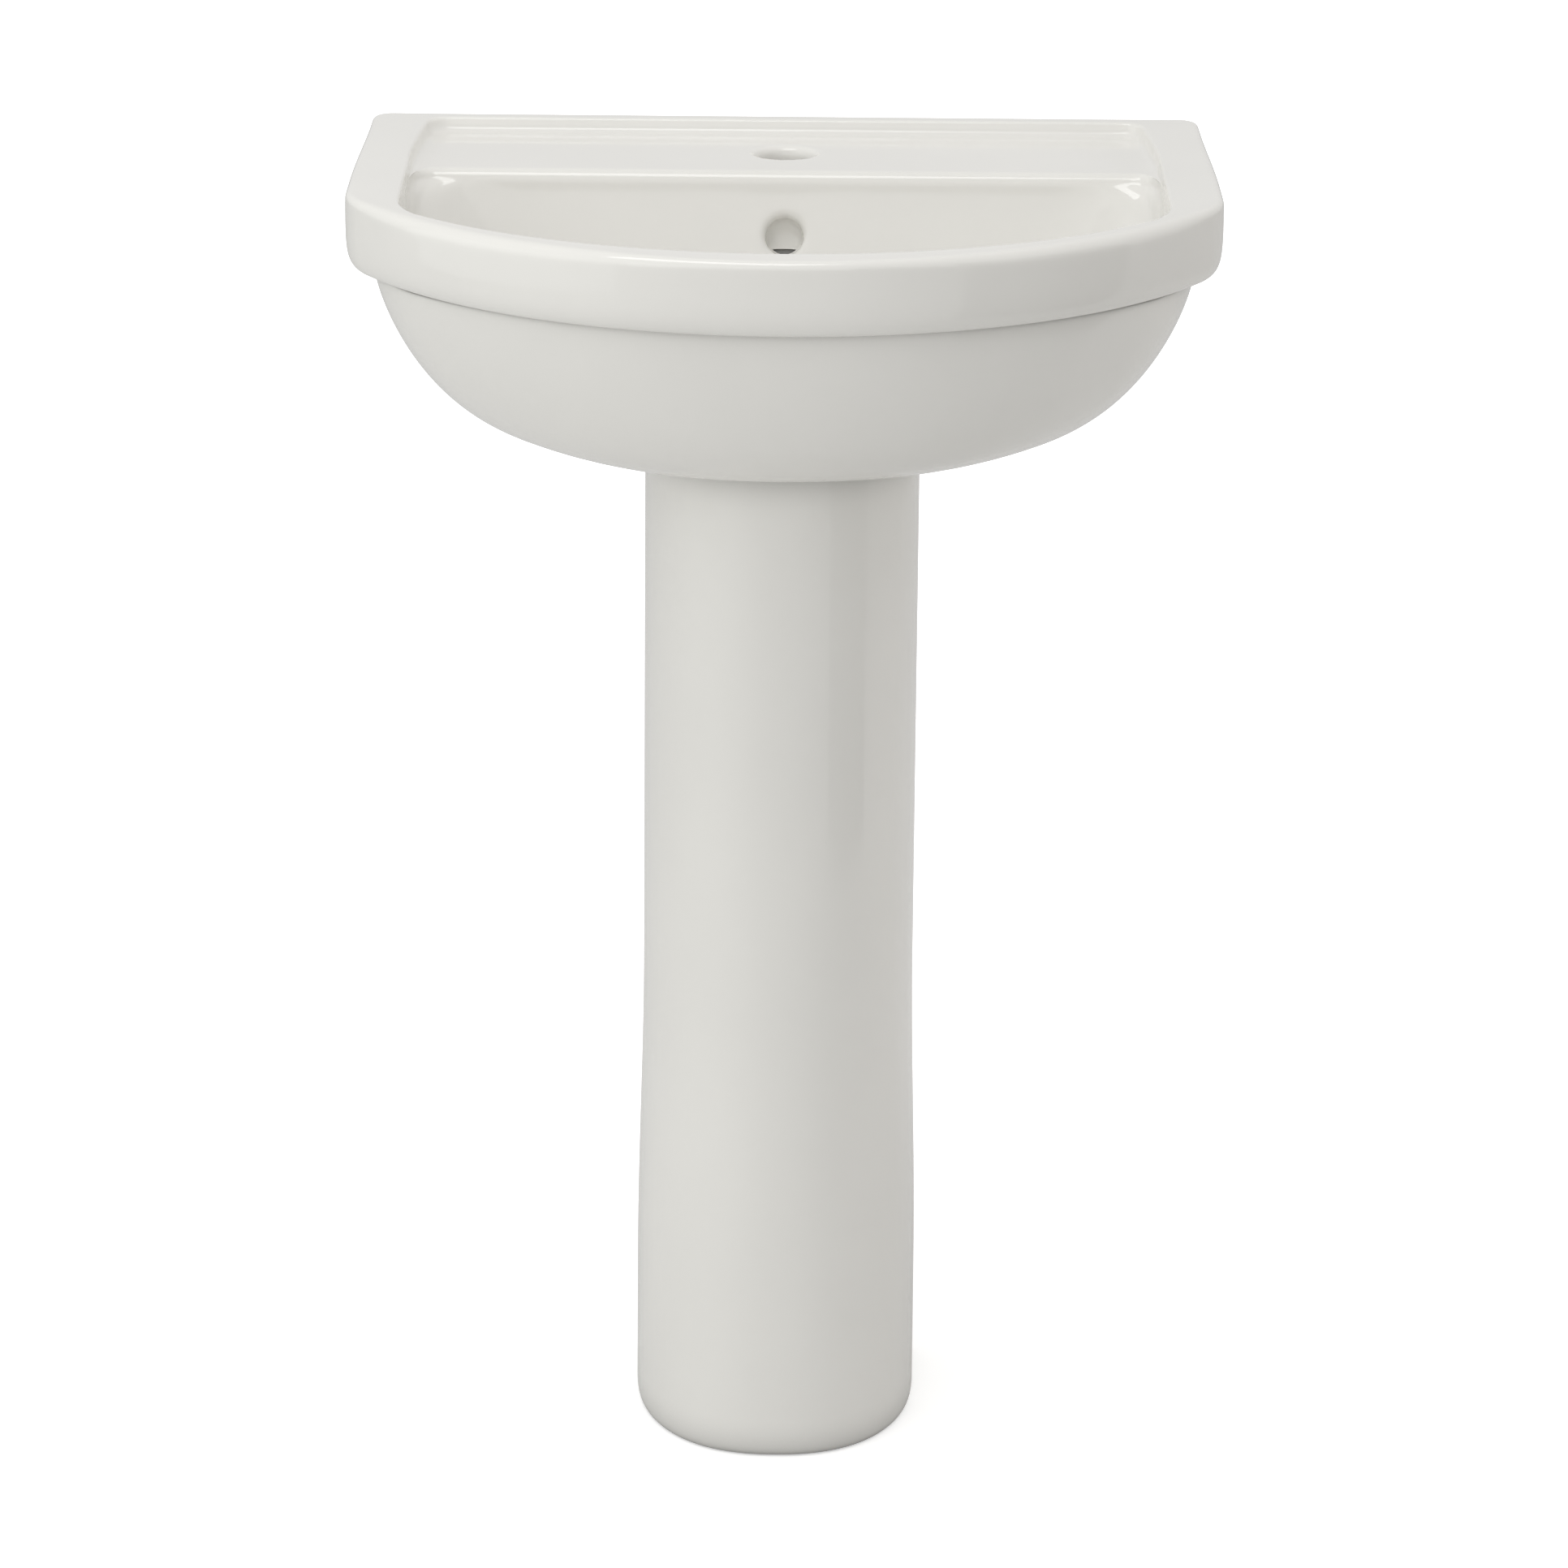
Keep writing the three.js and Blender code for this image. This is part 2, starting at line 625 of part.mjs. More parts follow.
// The plate that covers the pipe's hole in the wall.
function wallPlate() {
  return laidOver(turned([
    [15.5, 0], [18, 0], [22, 4], [34, 9], [36, 11], [36, 12], [15.5, 12],
  ]), -12);
}

// ---- Assembly -------------------------------------------------------------

const FINISH = {
  china: { color: 0xe8e6e0, roughness: 0.08, metalness: 0 },
  chrome: { color: 0xd4d6d8, roughness: 0.08, metalness: 1 },
  brass: { color: 0xb8924e, roughness: 0.3, metalness: 1 },
  rubber: { color: 0x222222, roughness: 0.8, metalness: 0 },
  plastic: { color: 0xf0f0ee, roughness: 0.4, metalness: 0 },
};

const sink = new THREE.Group();
sink.position.y = DEPTH / 2;
const wasteLine = new THREE.Group();
wasteLine.position.y = WASTE.y;
sink.add(wasteLine);

function place(group, name, shape, finish) {
  const geometry = shape.isBufferGeometry ? shape : geometryOf(shape);
  const mesh = new THREE.Mesh(geometry, new THREE.MeshStandardMaterial(FINISH[finish]));
  mesh.name = name;
  group.add(mesh);
}

place(sink, 'basin', basin(), 'china');
place(sink, 'pedestal', pedestal(), 'china');
place(wasteLine, 'waste_body', wasteBody(), 'chrome');
place(wasteLine, 'waste_cartridge', cartridge(), 'brass');
place(wasteLine, 'plug_stem', plugStem(), 'brass');
place(wasteLine, 'plug_cap', plugCap(), 'chrome');
place(wasteLine, 'plug_seal', plugSeal(), 'rubber');
place(wasteLine, 'waste_top_washer', topWasher(), 'rubber');
place(wasteLine, 'waste_lower_washer', lowerWasher(), 'rubber');
place(wasteLine, 'waste_slip_ring', slipRing(), 'plastic');
place(wasteLine, 'waste_back_nut', backNut(), 'brass');
place(wasteLine, 'trap_inlet_nut', inletNut(), 'plastic');
place(wasteLine, 'trap_inlet_washer', inletWasher(), 'rubber');
place(wasteLine, 'trap_body', trapBody(), 'plastic');
place(wasteLine, 'trap_cup', trapCup(), 'plastic');
place(wasteLine, 'trap_cup_seal', cupSeal(), 'rubber');
place(sink, 'trap_outlet_nut', outletNut(), 'plastic');
place(sink, 'trap_outlet_washer', outletWasher(), 'rubber');
place(sink, 'waste_pipe', wastePipe(), 'plastic');
place(sink, 'wall_plate', wallPlate(), 'plastic');

export default sink;
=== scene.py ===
from math import atan2, copysign, cos, hypot, pi, radians, sin, sqrt

import bmesh
import bpy
from mathutils import Matrix, Vector


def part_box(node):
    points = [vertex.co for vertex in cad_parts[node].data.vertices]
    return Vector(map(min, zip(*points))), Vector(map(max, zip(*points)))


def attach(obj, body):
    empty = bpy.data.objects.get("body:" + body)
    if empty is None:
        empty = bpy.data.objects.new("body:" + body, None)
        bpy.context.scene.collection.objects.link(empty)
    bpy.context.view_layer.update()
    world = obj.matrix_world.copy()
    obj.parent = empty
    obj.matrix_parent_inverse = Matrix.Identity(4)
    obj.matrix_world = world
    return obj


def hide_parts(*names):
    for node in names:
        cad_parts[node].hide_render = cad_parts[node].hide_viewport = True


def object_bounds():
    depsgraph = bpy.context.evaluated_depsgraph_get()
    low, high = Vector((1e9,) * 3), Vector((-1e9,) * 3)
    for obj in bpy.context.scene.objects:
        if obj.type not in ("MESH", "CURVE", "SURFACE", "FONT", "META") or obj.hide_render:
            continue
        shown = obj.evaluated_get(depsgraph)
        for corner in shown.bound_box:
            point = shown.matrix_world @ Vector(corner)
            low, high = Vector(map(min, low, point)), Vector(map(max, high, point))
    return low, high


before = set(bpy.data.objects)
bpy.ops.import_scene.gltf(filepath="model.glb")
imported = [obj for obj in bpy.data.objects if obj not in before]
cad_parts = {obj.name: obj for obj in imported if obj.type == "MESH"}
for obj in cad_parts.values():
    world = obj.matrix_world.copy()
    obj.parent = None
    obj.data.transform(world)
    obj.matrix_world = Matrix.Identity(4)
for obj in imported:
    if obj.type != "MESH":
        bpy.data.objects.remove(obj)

cad_low, cad_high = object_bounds()

# ---- Studio ----
# A long lens looks down a little on a white sweep in a pale room. A softbox above
# and to the left draws the highlight lines, weak panels fill the front and the
# sides, and a grey flag at the front right lets that side fall off.
WALL = cad_high.y  # the wall's plane, where the basin's back stands
LOOK_DOWN, LEAN = 16.98, 0.5  # degrees
EYE = (0.0028, WALL - 4.5, 1.734)
scene = bpy.context.scene
scene.view_settings.view_transform = "Standard"


def new_object(name, data):
    made = bpy.data.objects.new(name, data)
    scene.collection.objects.link(made)
    return made


camera = new_object("camera", bpy.data.cameras.new("camera"))
scene.camera = camera
camera.data.sensor_width = 36
camera.data.lens = 159.4
tilt = Matrix.Rotation(radians(90 - LOOK_DOWN), 4, "X")
roll = Matrix.Rotation(radians(LEAN), 4, "Z")
camera.matrix_world = Matrix.Translation(EYE) @ tilt @ roll


def add_node(tree, kind, values=(), **settings):
    node = tree.nodes.new(kind)
    for key, value in settings.items():
        setattr(node, key, value)
    for key, value in dict(values).items():
        node.inputs[key].default_value = value
    return node


def mapped(tree, low, high, to_low=0.0, to_high=1.0, **settings):
    """A node that takes one range of values to another."""
    values = {"From Min": low, "From Max": high, "To Min": to_low, "To Max": to_high}
    return add_node(tree, "ShaderNodeMapRange", values, **settings)


def join(tree, links):
    """Joins sockets, each link given as node, output, node, input."""
    for source, output, target, socket in links:
        tree.links.new(source.outputs[output], target.inputs[socket])


def new_material(name, values=()):
    """A material with its tree and its Principled node, which takes the values."""
    made = bpy.data.materials.new(name)
    made.use_nodes = True
    skin = made.node_tree.nodes["Principled BSDF"]
    for key, value in dict(values).items():
        skin.inputs[key].default_value = value
    return made, made.node_tree, skin


world = bpy.data.worlds.new("studio")
scene.world = world
world.use_nodes = True
tree = world.node_tree
tree.nodes.clear()
path = add_node(tree, "ShaderNodeLightPath")
white = add_node(tree, "ShaderNodeBackground", {"Color": (1, 1, 1, 1)})
room = add_node(tree, "ShaderNodeBackground", {"Color": (1.0, 0.995, 0.99, 1), "Strength": 0.7})
seen = add_node(tree, "ShaderNodeMixShader")
out = add_node(tree, "ShaderNodeOutputWorld")
join(tree, [
    (path, "Is Camera Ray", seen, "Fac"),
    (room, 0, seen, 1),
    (white, 0, seen, 2),
    (seen, 0, out, "Surface"),
])


def softbox(name, place, target, width, height, watts, tint=(1, 1, 1)):
    light = bpy.data.lights.new(name, "AREA")
    light.shape = "RECTANGLE"
    light.size = width
    light.size_y = height
    light.energy = watts
    light.color = tint
    lamp = new_object(name, light)
    lamp.location = place
    aim = Vector(target) - Vector(place)
    lamp.rotation_euler = aim.to_track_quat("-Z", "Y").to_euler()
    return lamp


# The left panel is faintly green. The right one is faintly pink and stays out of
# the reflections.
softbox("overhead_strip", (-0.4, -0.6, 2.9), (-0.1, -0.1, 0.8), 1.5, 0.9, 14)
softbox("front_fill", (-0.6, -3.2, 1.6), (0, 0, 0.7), 3.4, 2.2, 14.5)
softbox("left_wall", (-2.0, -0.8, 1.2), (0, 0, 0.6), 2.6, 2.2, 8.5, (0.97, 1.0, 0.985))
low = softbox("right_low", (2.0, 0.5, 1.05), (0, -0.1, 0.7), 1.4, 0.8, 8, (1.0, 0.96, 0.93))
low.visible_glossy = False


def flat_panel(name, corners, material):
    mesh = bpy.data.meshes.new(name)
    mesh.from_pydata(corners, [], [(0, 1, 2, 3)])
    mesh.materials.append(material)
    return new_object(name, mesh)


felt = new_material("grey_felt", {"Base Color": (0.2, 0.2, 0.2, 1), "Roughness": 1.0})[0]
flag = flat_panel("flag", [(0.95, -1.05, 0), (1.4, -0.1, 0), (1.4, -0.1, 1.6), (0.95, -1.05, 1.6)], felt)
flag.visible_camera = False

# The floor glows white for the camera alone, less so near the foot.
sweep, tree, _ = new_material("white_sweep")
tree.nodes.clear()
matte = add_node(tree, "ShaderNodeBsdfDiffuse", {"Color": (0.74, 0.74, 0.735, 1)})
coords = add_node(tree, "ShaderNodeTexCoord")
spread = add_node(tree, "ShaderNodeVectorMath", operation="LENGTH")
fade = mapped(tree, 0.1, 0.5, 0.5, interpolation_type="SMOOTHSTEP")
path = add_node(tree, "ShaderNodeLightPath")
lift = add_node(tree, "ShaderNodeMath", operation="MULTIPLY")
glow = add_node(tree, "ShaderNodeEmission")
both = add_node(tree, "ShaderNodeAddShader")
out = add_node(tree, "ShaderNodeOutputMaterial")
join(tree, [
    (coords, "Object", spread, 0),
    (spread, "Value", fade, "Value"),
    (fade, "Result", lift, 0),
    (path, "Is Camera Ray", lift, 1),
    (lift, 0, glow, "Strength"),
    (matte, 0, both, 0),
    (glow, 0, both, 1),
    (both, 0, out, "Surface"),
])
floor = flat_panel("floor", [(-30, -30, 0), (30, -30, 0), (30, 30, 0), (-30, 30, 0)], sweep)
floor.location.z = -0.0005

# ---- China: glaze and bare body ----
# Vitreous china under an opaque ivory glaze, fired to a gloss that still holds a
# slight wave and a few pinholes. Its colour is darkened in creases in front as painted
# shade. The pedestal's inside and the faces it was fired on stay bare.


def group_with(name, inputs, outputs):
    """A shader group and the nodes that hold its inputs and its outputs."""
    group = bpy.data.node_groups.new(name, "ShaderNodeTree")
    for label, kind, value in inputs:
        socket = group.interface.new_socket(label, in_out="INPUT", socket_type="NodeSocket" + kind)
        socket.default_value = value
    for label, kind in outputs:
        group.interface.new_socket(label, in_out="OUTPUT", socket_type="NodeSocket" + kind)
    return group, group.nodes.new("NodeGroupInput"), group.nodes.new("NodeGroupOutput")


def noise(tree, scale, detail, roughness=0.5):
    return add_node(tree, "ShaderNodeTexNoise", {"Scale": scale, "Detail": detail, "Roughness": roughness})


glaze, taken, given = group_with(
    "Glaze",
    [("Ivory", "Color", (0.8, 0.79, 0.755, 1)), ("Wave", "Float", 0.05)],
    [("Color", "Color"), ("Roughness", "Float"), ("Normal", "Vector")],
)
coords = add_node(glaze, "ShaderNodeTexCoord")
cloud = noise(glaze, 9.0, 2.0)
shade = mapped(glaze, 0.3, 0.7, 0.985, 1.01)
pin = add_node(glaze, "ShaderNodeTexVoronoi", {"Scale": 20.0}, feature="F1")
pinhole = mapped(glaze, 0.004, 0.008, 0.7)
darken = add_node(glaze, "ShaderNodeMath", operation="MULTIPLY")
# Painted shade: ambient occlusion darkens the colour in creases, fading out from 260 to 210 mm in front of
# the wall.
crease = add_node(glaze, "ShaderNodeAmbientOcclusion", {"Distance": 0.025}, samples=8)
crease_shade = mapped(glaze, 0.3, 0.95, 0.56)
place = add_node(glaze, "ShaderNodeSeparateXYZ")
rear = mapped(glaze, WALL - 0.26, WALL - 0.21)
painted_shade = add_node(glaze, "ShaderNodeMath", operation="MAXIMUM")
tone_with_painted_shade = add_node(glaze, "ShaderNodeMath", operation="MULTIPLY")
tint = add_node(glaze, "ShaderNodeMix", {"Factor": 1.0}, data_type="RGBA", blend_type="MULTIPLY")
gloss = mapped(glaze, 0.0, 1.0, 0.05, 0.09)
wave = noise(glaze, 14.0, 1.0)
peel = noise(glaze, 240.0, 2.0)
bump = add_node(glaze, "ShaderNodeBump", {"Distance": 0.0011})
fine = add_node(glaze, "ShaderNodeBump", {"Strength": 0.02, "Distance": 0.0002})
join(glaze, [(coords, "Object", source, "Vector") for source in (cloud, pin, wave, peel)] + [
    (cloud, "Fac", shade, "Value"),
    (pin, "Distance", pinhole, "Value"),
    (shade, "Result", darken, 0),
    (pinhole, "Result", darken, 1),
    (crease, "AO", crease_shade, "Value"),
    (coords, "Object", place, 0),
    (place, "Y", rear, "Value"),
    (crease_shade, "Result", painted_shade, 0),
    (rear, "Result", painted_shade, 1),
    (darken, 0, tone_with_painted_shade, 0),
    (painted_shade, 0, tone_with_painted_shade, 1),
    (taken, "Ivory", tint, "A"),
    (tone_with_painted_shade, 0, tint, "B"),
    (tint, "Result", given, "Color"),
    (cloud, "Fac", gloss, "Value"),
    (gloss, "Result", given, "Roughness"),
    (wave, "Fac", bump, "Height"),
    (taken, "Wave", bump, "Strength"),
    (peel, "Fac", fine, "Height"),
    (bump, "Normal", fine, "Normal"),
    (fine, "Normal", given, "Normal"),
])

china, tree, skin = new_material("glazed_china", {"IOR": 1.52})
coat = add_node(tree, "ShaderNodeGroup", node_tree=glaze)
join(tree, [
    (coat, "Color", skin, "Base Color"),
    (coat, "Roughness", skin, "Roughness"),
    (coat, "Normal", skin, "Normal"),
])


def two_tones(tree, low, colour, high, stain):
    """A ramp from a colour at one level to a stain at a higher one."""
    tone = add_node(tree, "ShaderNodeValToRGB")
    for stop, level, shown in zip(tone.color_ramp.elements, (low, high), (colour, stain)):
        stop.position = level
        stop.color = shown
    return tone


def grained(name, values, tones, clouds, grain_size, strength, depth):
    """A plain body: two tones in soft clouds, and a fine grain as a bump."""
    made, tree, skin = new_material(name, values)
    coords = add_node(tree, "ShaderNodeTexCoord")
    grain = noise(tree, grain_size, 3.0)
    cloud = noise(tree, *clouds)
    tone = two_tones(tree, *tones)
    bump = add_node(tree, "ShaderNodeBump", {"Strength": strength, "Distance": depth})
    join(tree, [
        (coords, "Object", grain, "Vector"),
        (coords, "Object", cloud, "Vector"),
        (cloud, "Fac", tone, "Fac"),
        (tone, "Color", skin, "Base Color"),
        (grain, "Fac", bump, "Height"),
        (bump, "Normal", skin, "Normal"),
    ])
    return made


bare = grained("bare_china", {"Roughness": 0.85}, (0.0, (0.62, 0.59, 0.53, 1), 1.0, (0.74, 0.72, 0.66, 1)),
               (14.0, 3.0), 700.0, 0.25, 0.0004)

# ---- Basin ----
# One slip-cast piece of vitreous china. Its skin is drawn as rings of quads from the
# underside up over the band and the rim, down the ledge onto the tap deck and into the
# bowl, then subdivided so that every edge takes the glaze's soft round.
MM = 0.001  # drawn in mm: x from the middle, y from the wall, z from the floor
TOP = 820  # the rim
RIM = cad_high.z
CHINA_WALL = 11.0  # thickness of the casting
DECK_FRONT, DECK_BACK = -134.0, -16  # where the tap deck rolls into the bowl, and where its ledge stands
ROWS_START, ROWS_END = -146, -28  # the part of the sides that the deck's rows share out
WASTE_Y, TAP_Y, OVERFLOW_Z = -226, -72, 771
GROOVE_Z, SEAT_Z = 770.4, 657  # the groove under the band, the flat that stands on the pedestal
SEAT_HALF, SEAT_DEPTH, COLUMN_Y = 112, 134, -180  # the seat, rounded in front of this line
ROUNDNESS = 2.3  # of the pedestal's plan, where 2 is an ellipse
BELLY_OUT, BELLY_DOWN = 0.72, 1.5  # how full the underside's curve is
NARROWS_FROM = -200  # the sides draw in from here to the wall
OUTER_NARROWING, INNER_NARROWING = (0.013, 2.0), 0.045  # the outer one sets in earlier
FRONT, CORNER, SIDE = 10, 7, 4  # ring steps round the front, the corner and the side
DECK_ROWS = (-146, -137, -124, -106, -87, -72, -57, -42, -34)
COLUMNS = [x / 218.8 for x in (195, 170, 145, 120, 96, 74, 52, 30, 15, 0)]
EDGE = FRONT + CORNER + SIDE  # ring index at the deck's front edge, right side
TURN = EDGE + len(DECK_ROWS)  # ring index where the back corner's arc starts
HALF = TURN + 4 + len(COLUMNS)  # ring index at the back's middle


def lerp(a, b, t):
    return a + (b - a) * t


def smooth(t, low, high):
    t = min(1.0, max(0.0, (t - low) / (high - low)))
    return t * t * (3 - 2 * t)


def superellipse(share, power):
    return max(0.0, 1 - share ** power) ** (1 / power)


def round_front(half_width, front, front_radius, corner_radius, front_steps, corner_steps):
    """The front's and the corner's arcs of the D's right half, and the y where they end."""
    arc_y = front + front_radius
    corner_x = half_width - corner_radius
    corner_y = arc_y - sqrt(max(0.0, (front_radius - corner_radius) ** 2 - corner_x ** 2))
    meeting = atan2(corner_x, arc_y - corner_y)
    points = []
    for i in range(front_steps):
        angle = meeting * i / front_steps
        points.append((front_radius * sin(angle), arc_y - front_radius * cos(angle)))
    for i in range(corner_steps):
        angle = lerp(meeting, pi / 2, i / corner_steps)
        x = corner_x + corner_radius * sin(angle)
        points.append((x, corner_y - corner_radius * cos(angle)))
    return points, corner_y


def narrowed(points, narrowing, bend=0.0):
    drawn = []
    for x, y in points:
        run = min(1.0, max(0.0, (y - NARROWS_FROM) / -NARROWS_FROM))
        drawn.append((x * (1 - narrowing * run * run * (1 + bend * (1 - run))), y))
    return drawn


def d_ring(half_width, front, front_radius, corner_radius, back, back_radius, narrowing, bend=0.0):
    """The D from its front's middle, anticlockwise."""
    points, corner_y = round_front(half_width, front, front_radius, corner_radius, FRONT, CORNER)
    for i in range(SIDE):
        points.append((half_width, lerp(corner_y, ROWS_START, i / SIDE)))
    side_end = back - back_radius
    for row in DECK_ROWS:
        points.append((half_width, lerp(ROWS_START, side_end, (row - ROWS_START) / (ROWS_END - ROWS_START))))
    for i in range(5):
        angle = radians(22.5 * i)
        x = half_width - back_radius * (1 - cos(angle))
        points.append((x, side_end + back_radius * sin(angle)))
    for share in COLUMNS:
        points.append(((half_width - back_radius) * share, back))
    half = narrowed(points, narrowing, bend)
    return half + [(-x, y) for x, y in half[-2:0:-1]]


def rim_ring(inset, back=0.0):
    """The band's face, moved in."""
    return d_ring(275 - inset, -440 + inset, 300 - inset, 87 - inset, back, 10.0, *OUTER_NARROWING)


def inner_ring(inset, back):
    """The rim's inner edge, moved in."""
    return d_ring(240 - inset, -414 + inset, 305 - inset, 85 - inset, back, 12.0, INNER_NARROWING)


def groove_ring(inset):
    """The top of the underside, moved in."""
    return d_ring(257 - inset, -426 + inset, 300 - inset, 128 - inset, 0.0, 3.0, *OUTER_NARROWING)


def pedestal_reach(angle, half_width, depth):
    """How far the rounded plan reaches from its middle."""
    across = abs(sin(angle)) / half_width
    along = abs(cos(angle)) / depth
    return (across ** ROUNDNESS + along ** ROUNDNESS) ** (-1 / ROUNDNESS)


def sweep_ring(t, inset):
    """A ring of the underside: t runs from the band (0) to the seat over the pedestal (90 degrees)."""
    upper = groove_ring(inset)
    spread = max(0.0, cos(t)) ** BELLY_OUT
    z = GROOVE_Z - (GROOVE_Z - SEAT_Z - inset) * sin(t) ** BELLY_DOWN
    back_corner = upper[TURN + 4][0]
    ring = []
    for i, (x, y) in enumerate(upper):
        if y > COLUMN_Y:
            on_back = TURN + 4 < i < 2 * HALF - TURN - 4
            share = x / back_corner if on_back else copysign(1, x)
            seat_x, seat_y = (SEAT_HALF - inset) * share, y
        else:
            angle = atan2(x, COLUMN_Y - y)
            reach = pedestal_reach(angle, SEAT_HALF - inset, SEAT_DEPTH - inset)
            seat_x, seat_y = reach * sin(angle), COLUMN_Y - reach * cos(angle)
        ring.append((lerp(seat_x, x, spread), lerp(seat_y, y, spread), z))
    return ring


def back_wall(share):
    """The y of the bowl's back at a share of the bowl's depth."""
    return lerp(-192, DECK_FRONT, superellipse(share, 1.35))


def bowl_half(share, expand=0.0):
    """A level outline of the bowl at a share of its depth: the right half's front run, from the
    front's middle, and its back run, from the end of the side to the back's middle. Each size
    goes from its value at the bottom to its value at the rim."""
    spread = superellipse(share, 3)
    half_width = lerp(34, 240, spread) + expand
    front = lerp(-260, -414, spread) - expand
    back = back_wall(share) + expand
    front_radius = lerp(35, 305, spread) + expand
    corner_radius = lerp(33, 85, spread) + expand
    run, corner_y = round_front(half_width, front, front_radius, corner_radius, 40, 30)
    turn_x = lerp(11, 33, share) + 38 * sin(pi * share)
    turn_y = min(turn_x * 1.1, back - corner_y)
    turn_x = min(turn_x, half_width)
    side_end = back - turn_y
    for i in range(21):
        run.append((half_width, lerp(corner_y, side_end, i / 20)))
    turn = []
    for i in range(21):
        angle = radians(4.5 * i)
        turn.append((half_width - turn_x * (1 - cos(angle)), side_end + turn_y * sin(angle)))
    turn.append((0.0, back))
    return narrowed(run, INNER_NARROWING * spread), narrowed(turn, INNER_NARROWING * spread)


def bowl_height(share, expand=0.0):
    return TOP - (144 + expand) * share - 6 * (1 - superellipse(share, 3))


def share_at(z):
    """The share of the bowl's depth at a height."""
    low, high = 0.0, 1.0
    for _ in range(40):
        middle = (low + high) / 2
        if bowl_height(middle) > z:
            low = middle
        else:
            high = middle
    return low


def spacing(points):
    """Where the points of a line lie along it, from 0 to 1."""
    lengths = [0.0]
    for (x0, y0), (x1, y1) in zip(points, points[1:]):
        lengths.append(lengths[-1] + hypot(x1 - x0, y1 - y0))
    return [value / lengths[-1] for value in lengths]


def resampled(points, shares):
    """The points of a line at these shares of its length."""
    places = spacing(points)
    made = []
    k = 0
    for share in shares:
        while k < len(points) - 2 and places[k + 1] < share:
            k += 1
        t = (share - places[k]) / max(1e-9, places[k + 1] - places[k])
        made.append((lerp(points[k][0], points[k + 1][0], t), lerp(points[k][1], points[k + 1][1], t)))
    return made


def in_frame(x, y, z):
    return (x * MM, WALL + y * MM, RIM + (z - TOP) * MM)


def drawn_at(index):
    """Where a vertex stands in the drawing."""
    return verts[index][0] / MM, (verts[index][1] - WALL) / MM


verts, faces = [], []


def add(points):
    verts.extend(in_frame(*p) for p in points)
    return list(range(len(verts) - len(points), len(verts)))


def bridge(a, b, skipped=()):
    for i in range(len(a)):
        j = (i + 1) % len(a)
        if i not in skipped:
            faces.append((a[i], a[j], b[j], b[i]))


def grow(below, points):
    """The ring of these points, joined by faces to the ring below."""
    ring = add(points)
    bridge(below, ring)
    return ring


# The underside, from the flat seat up to the groove below the band.
below = add([(x * 0.7, lerp(-150, y, 0.8), z) for x, y, z in sweep_ring(pi / 2, 0.0)])
faces.append(tuple(below))
for step in (90, 83, 75, 66, 57, 48, 39, 30, 21, 12, 4):
    below = grow(below, sweep_ring(radians(step), 0.0))
GROOVE = [(0.03, 770.9, 770.6), (0.12, 771.8, 770.8), (0.3, 772.5, 771.0), (0.6, 772.8, 771.2)]
for share, z, z_back in GROOVE:
    ring = []
    for (x0, y0), (x1, y1) in zip(groove_ring(0), rim_ring(11.0)):
        y = lerp(y0, y1, share)
        ring.append((lerp(x0, x1, share), y, z_back if y > -0.01 else z))
    below = grow(below, ring)

# The band, whose lower lip is level along the wall.
BAND = [(11.0, 47.2), (9.3, 47.8), (7.3, 47.5), (5.3, 46.4), (3.4, 44.3), (1.8, 41.0), (0.7, 36.0),
        (0.1, 28.0), (0.0, 19.0)]
for level, (inset, drop) in enumerate(BAND):
    ring = []
    for x, y in rim_ring(inset):
        on_wall = level < 5 and y > -0.01
        ring.append((x, y, 771.4 + 0.4 * level if on_wall else TOP - drop))
    below = grow(below, ring)

# The roll from the band onto the rim's flat top: broad round the corners, tight at
# the front's middle, the sides and the back, whose edge dips a little.
TIGHT, BROAD = 4.5, 9.0
ROLL = [(0.0, 1.0), (0.05, 0.69), (0.19, 0.41), (0.41, 0.19), (0.69, 0.05), (1.0, 0.004), (1.4, 0.001)]


def breadth(x, y):
    corner = 0.15 + 0.85 * smooth(abs(x), 20, 175)
    return corner * (1 - 0.9 * smooth(abs(x), 235, 274)) * (1 - smooth(y, -60, -14))


for across, down in ROLL:
    tight, broad = [rim_ring(radius * across, -0.3 * radius * across) for radius in (TIGHT, BROAD)]
    ring = []
    for (x, y), (x_broad, y_broad) in zip(tight, broad):
        share = breadth(x, y)
        dip = 0.3 * smooth(y, -16, -4) * (1 - smooth(abs(x), 244, 264))
        z = TOP - lerp(TIGHT, BROAD, share) * down - dip
        ring.append((lerp(x, x_broad, share), lerp(y, y_broad, share), z))
    below = grow(below, ring)

# The inner edge: down the ledge's step and round to the deck's fillet at the back,
# straight down into the bowl at the front.
fillet = [0.0] * EDGE + [0.25, 0.6, 0.9] + [1.0] * (HALF - EDGE - 2)
fillet += fillet[-2:0:-1]
STEP = [(-2.6, 0.0, -2.4), (-1.6, 0.1, -2.2), (-0.7, 0.55, -2.1), (-0.15, 1.4, -2.0), (0.0, 2.7, -1.7),
        (0.0, 4.4, -1.2), (0.0, 6.1, -0.5), (0.0, 7.5, 0.6), (0.0, 8.6, 2.6), (0.0, 9.0, 6.0)]
for inset, drop, foot in STEP:
    ring = []
    for i, weight in enumerate(fillet):
        total = inset + foot * weight
        x, y = inner_ring(total, DECK_BACK - total)[i]
        ring.append((x, y, TOP - drop))
    below = grow(below, ring)
border = below

# The tap deck: a grid inside that border, a little dished, whose last row is the
# line where it rolls into the bowl. Its ends sweep forward along the sides.
ROWS, LAST = TURN + 2 - EDGE, 2 * (HALF - TURN - 2)
TAP = (10, 14, 4, 8)  # columns and rows of the patch that carries the tap hole
END_SWEEP = 13.0  # how far in from the side a row bends forward


def corner_weight(distance):
    """How far a row has bent forward, from 1 at the side to 0 further in."""
    if distance >= END_SWEEP:
        return 0.0
    return 1 - sqrt(1 - ((END_SWEEP - distance) / END_SWEEP) ** 2)


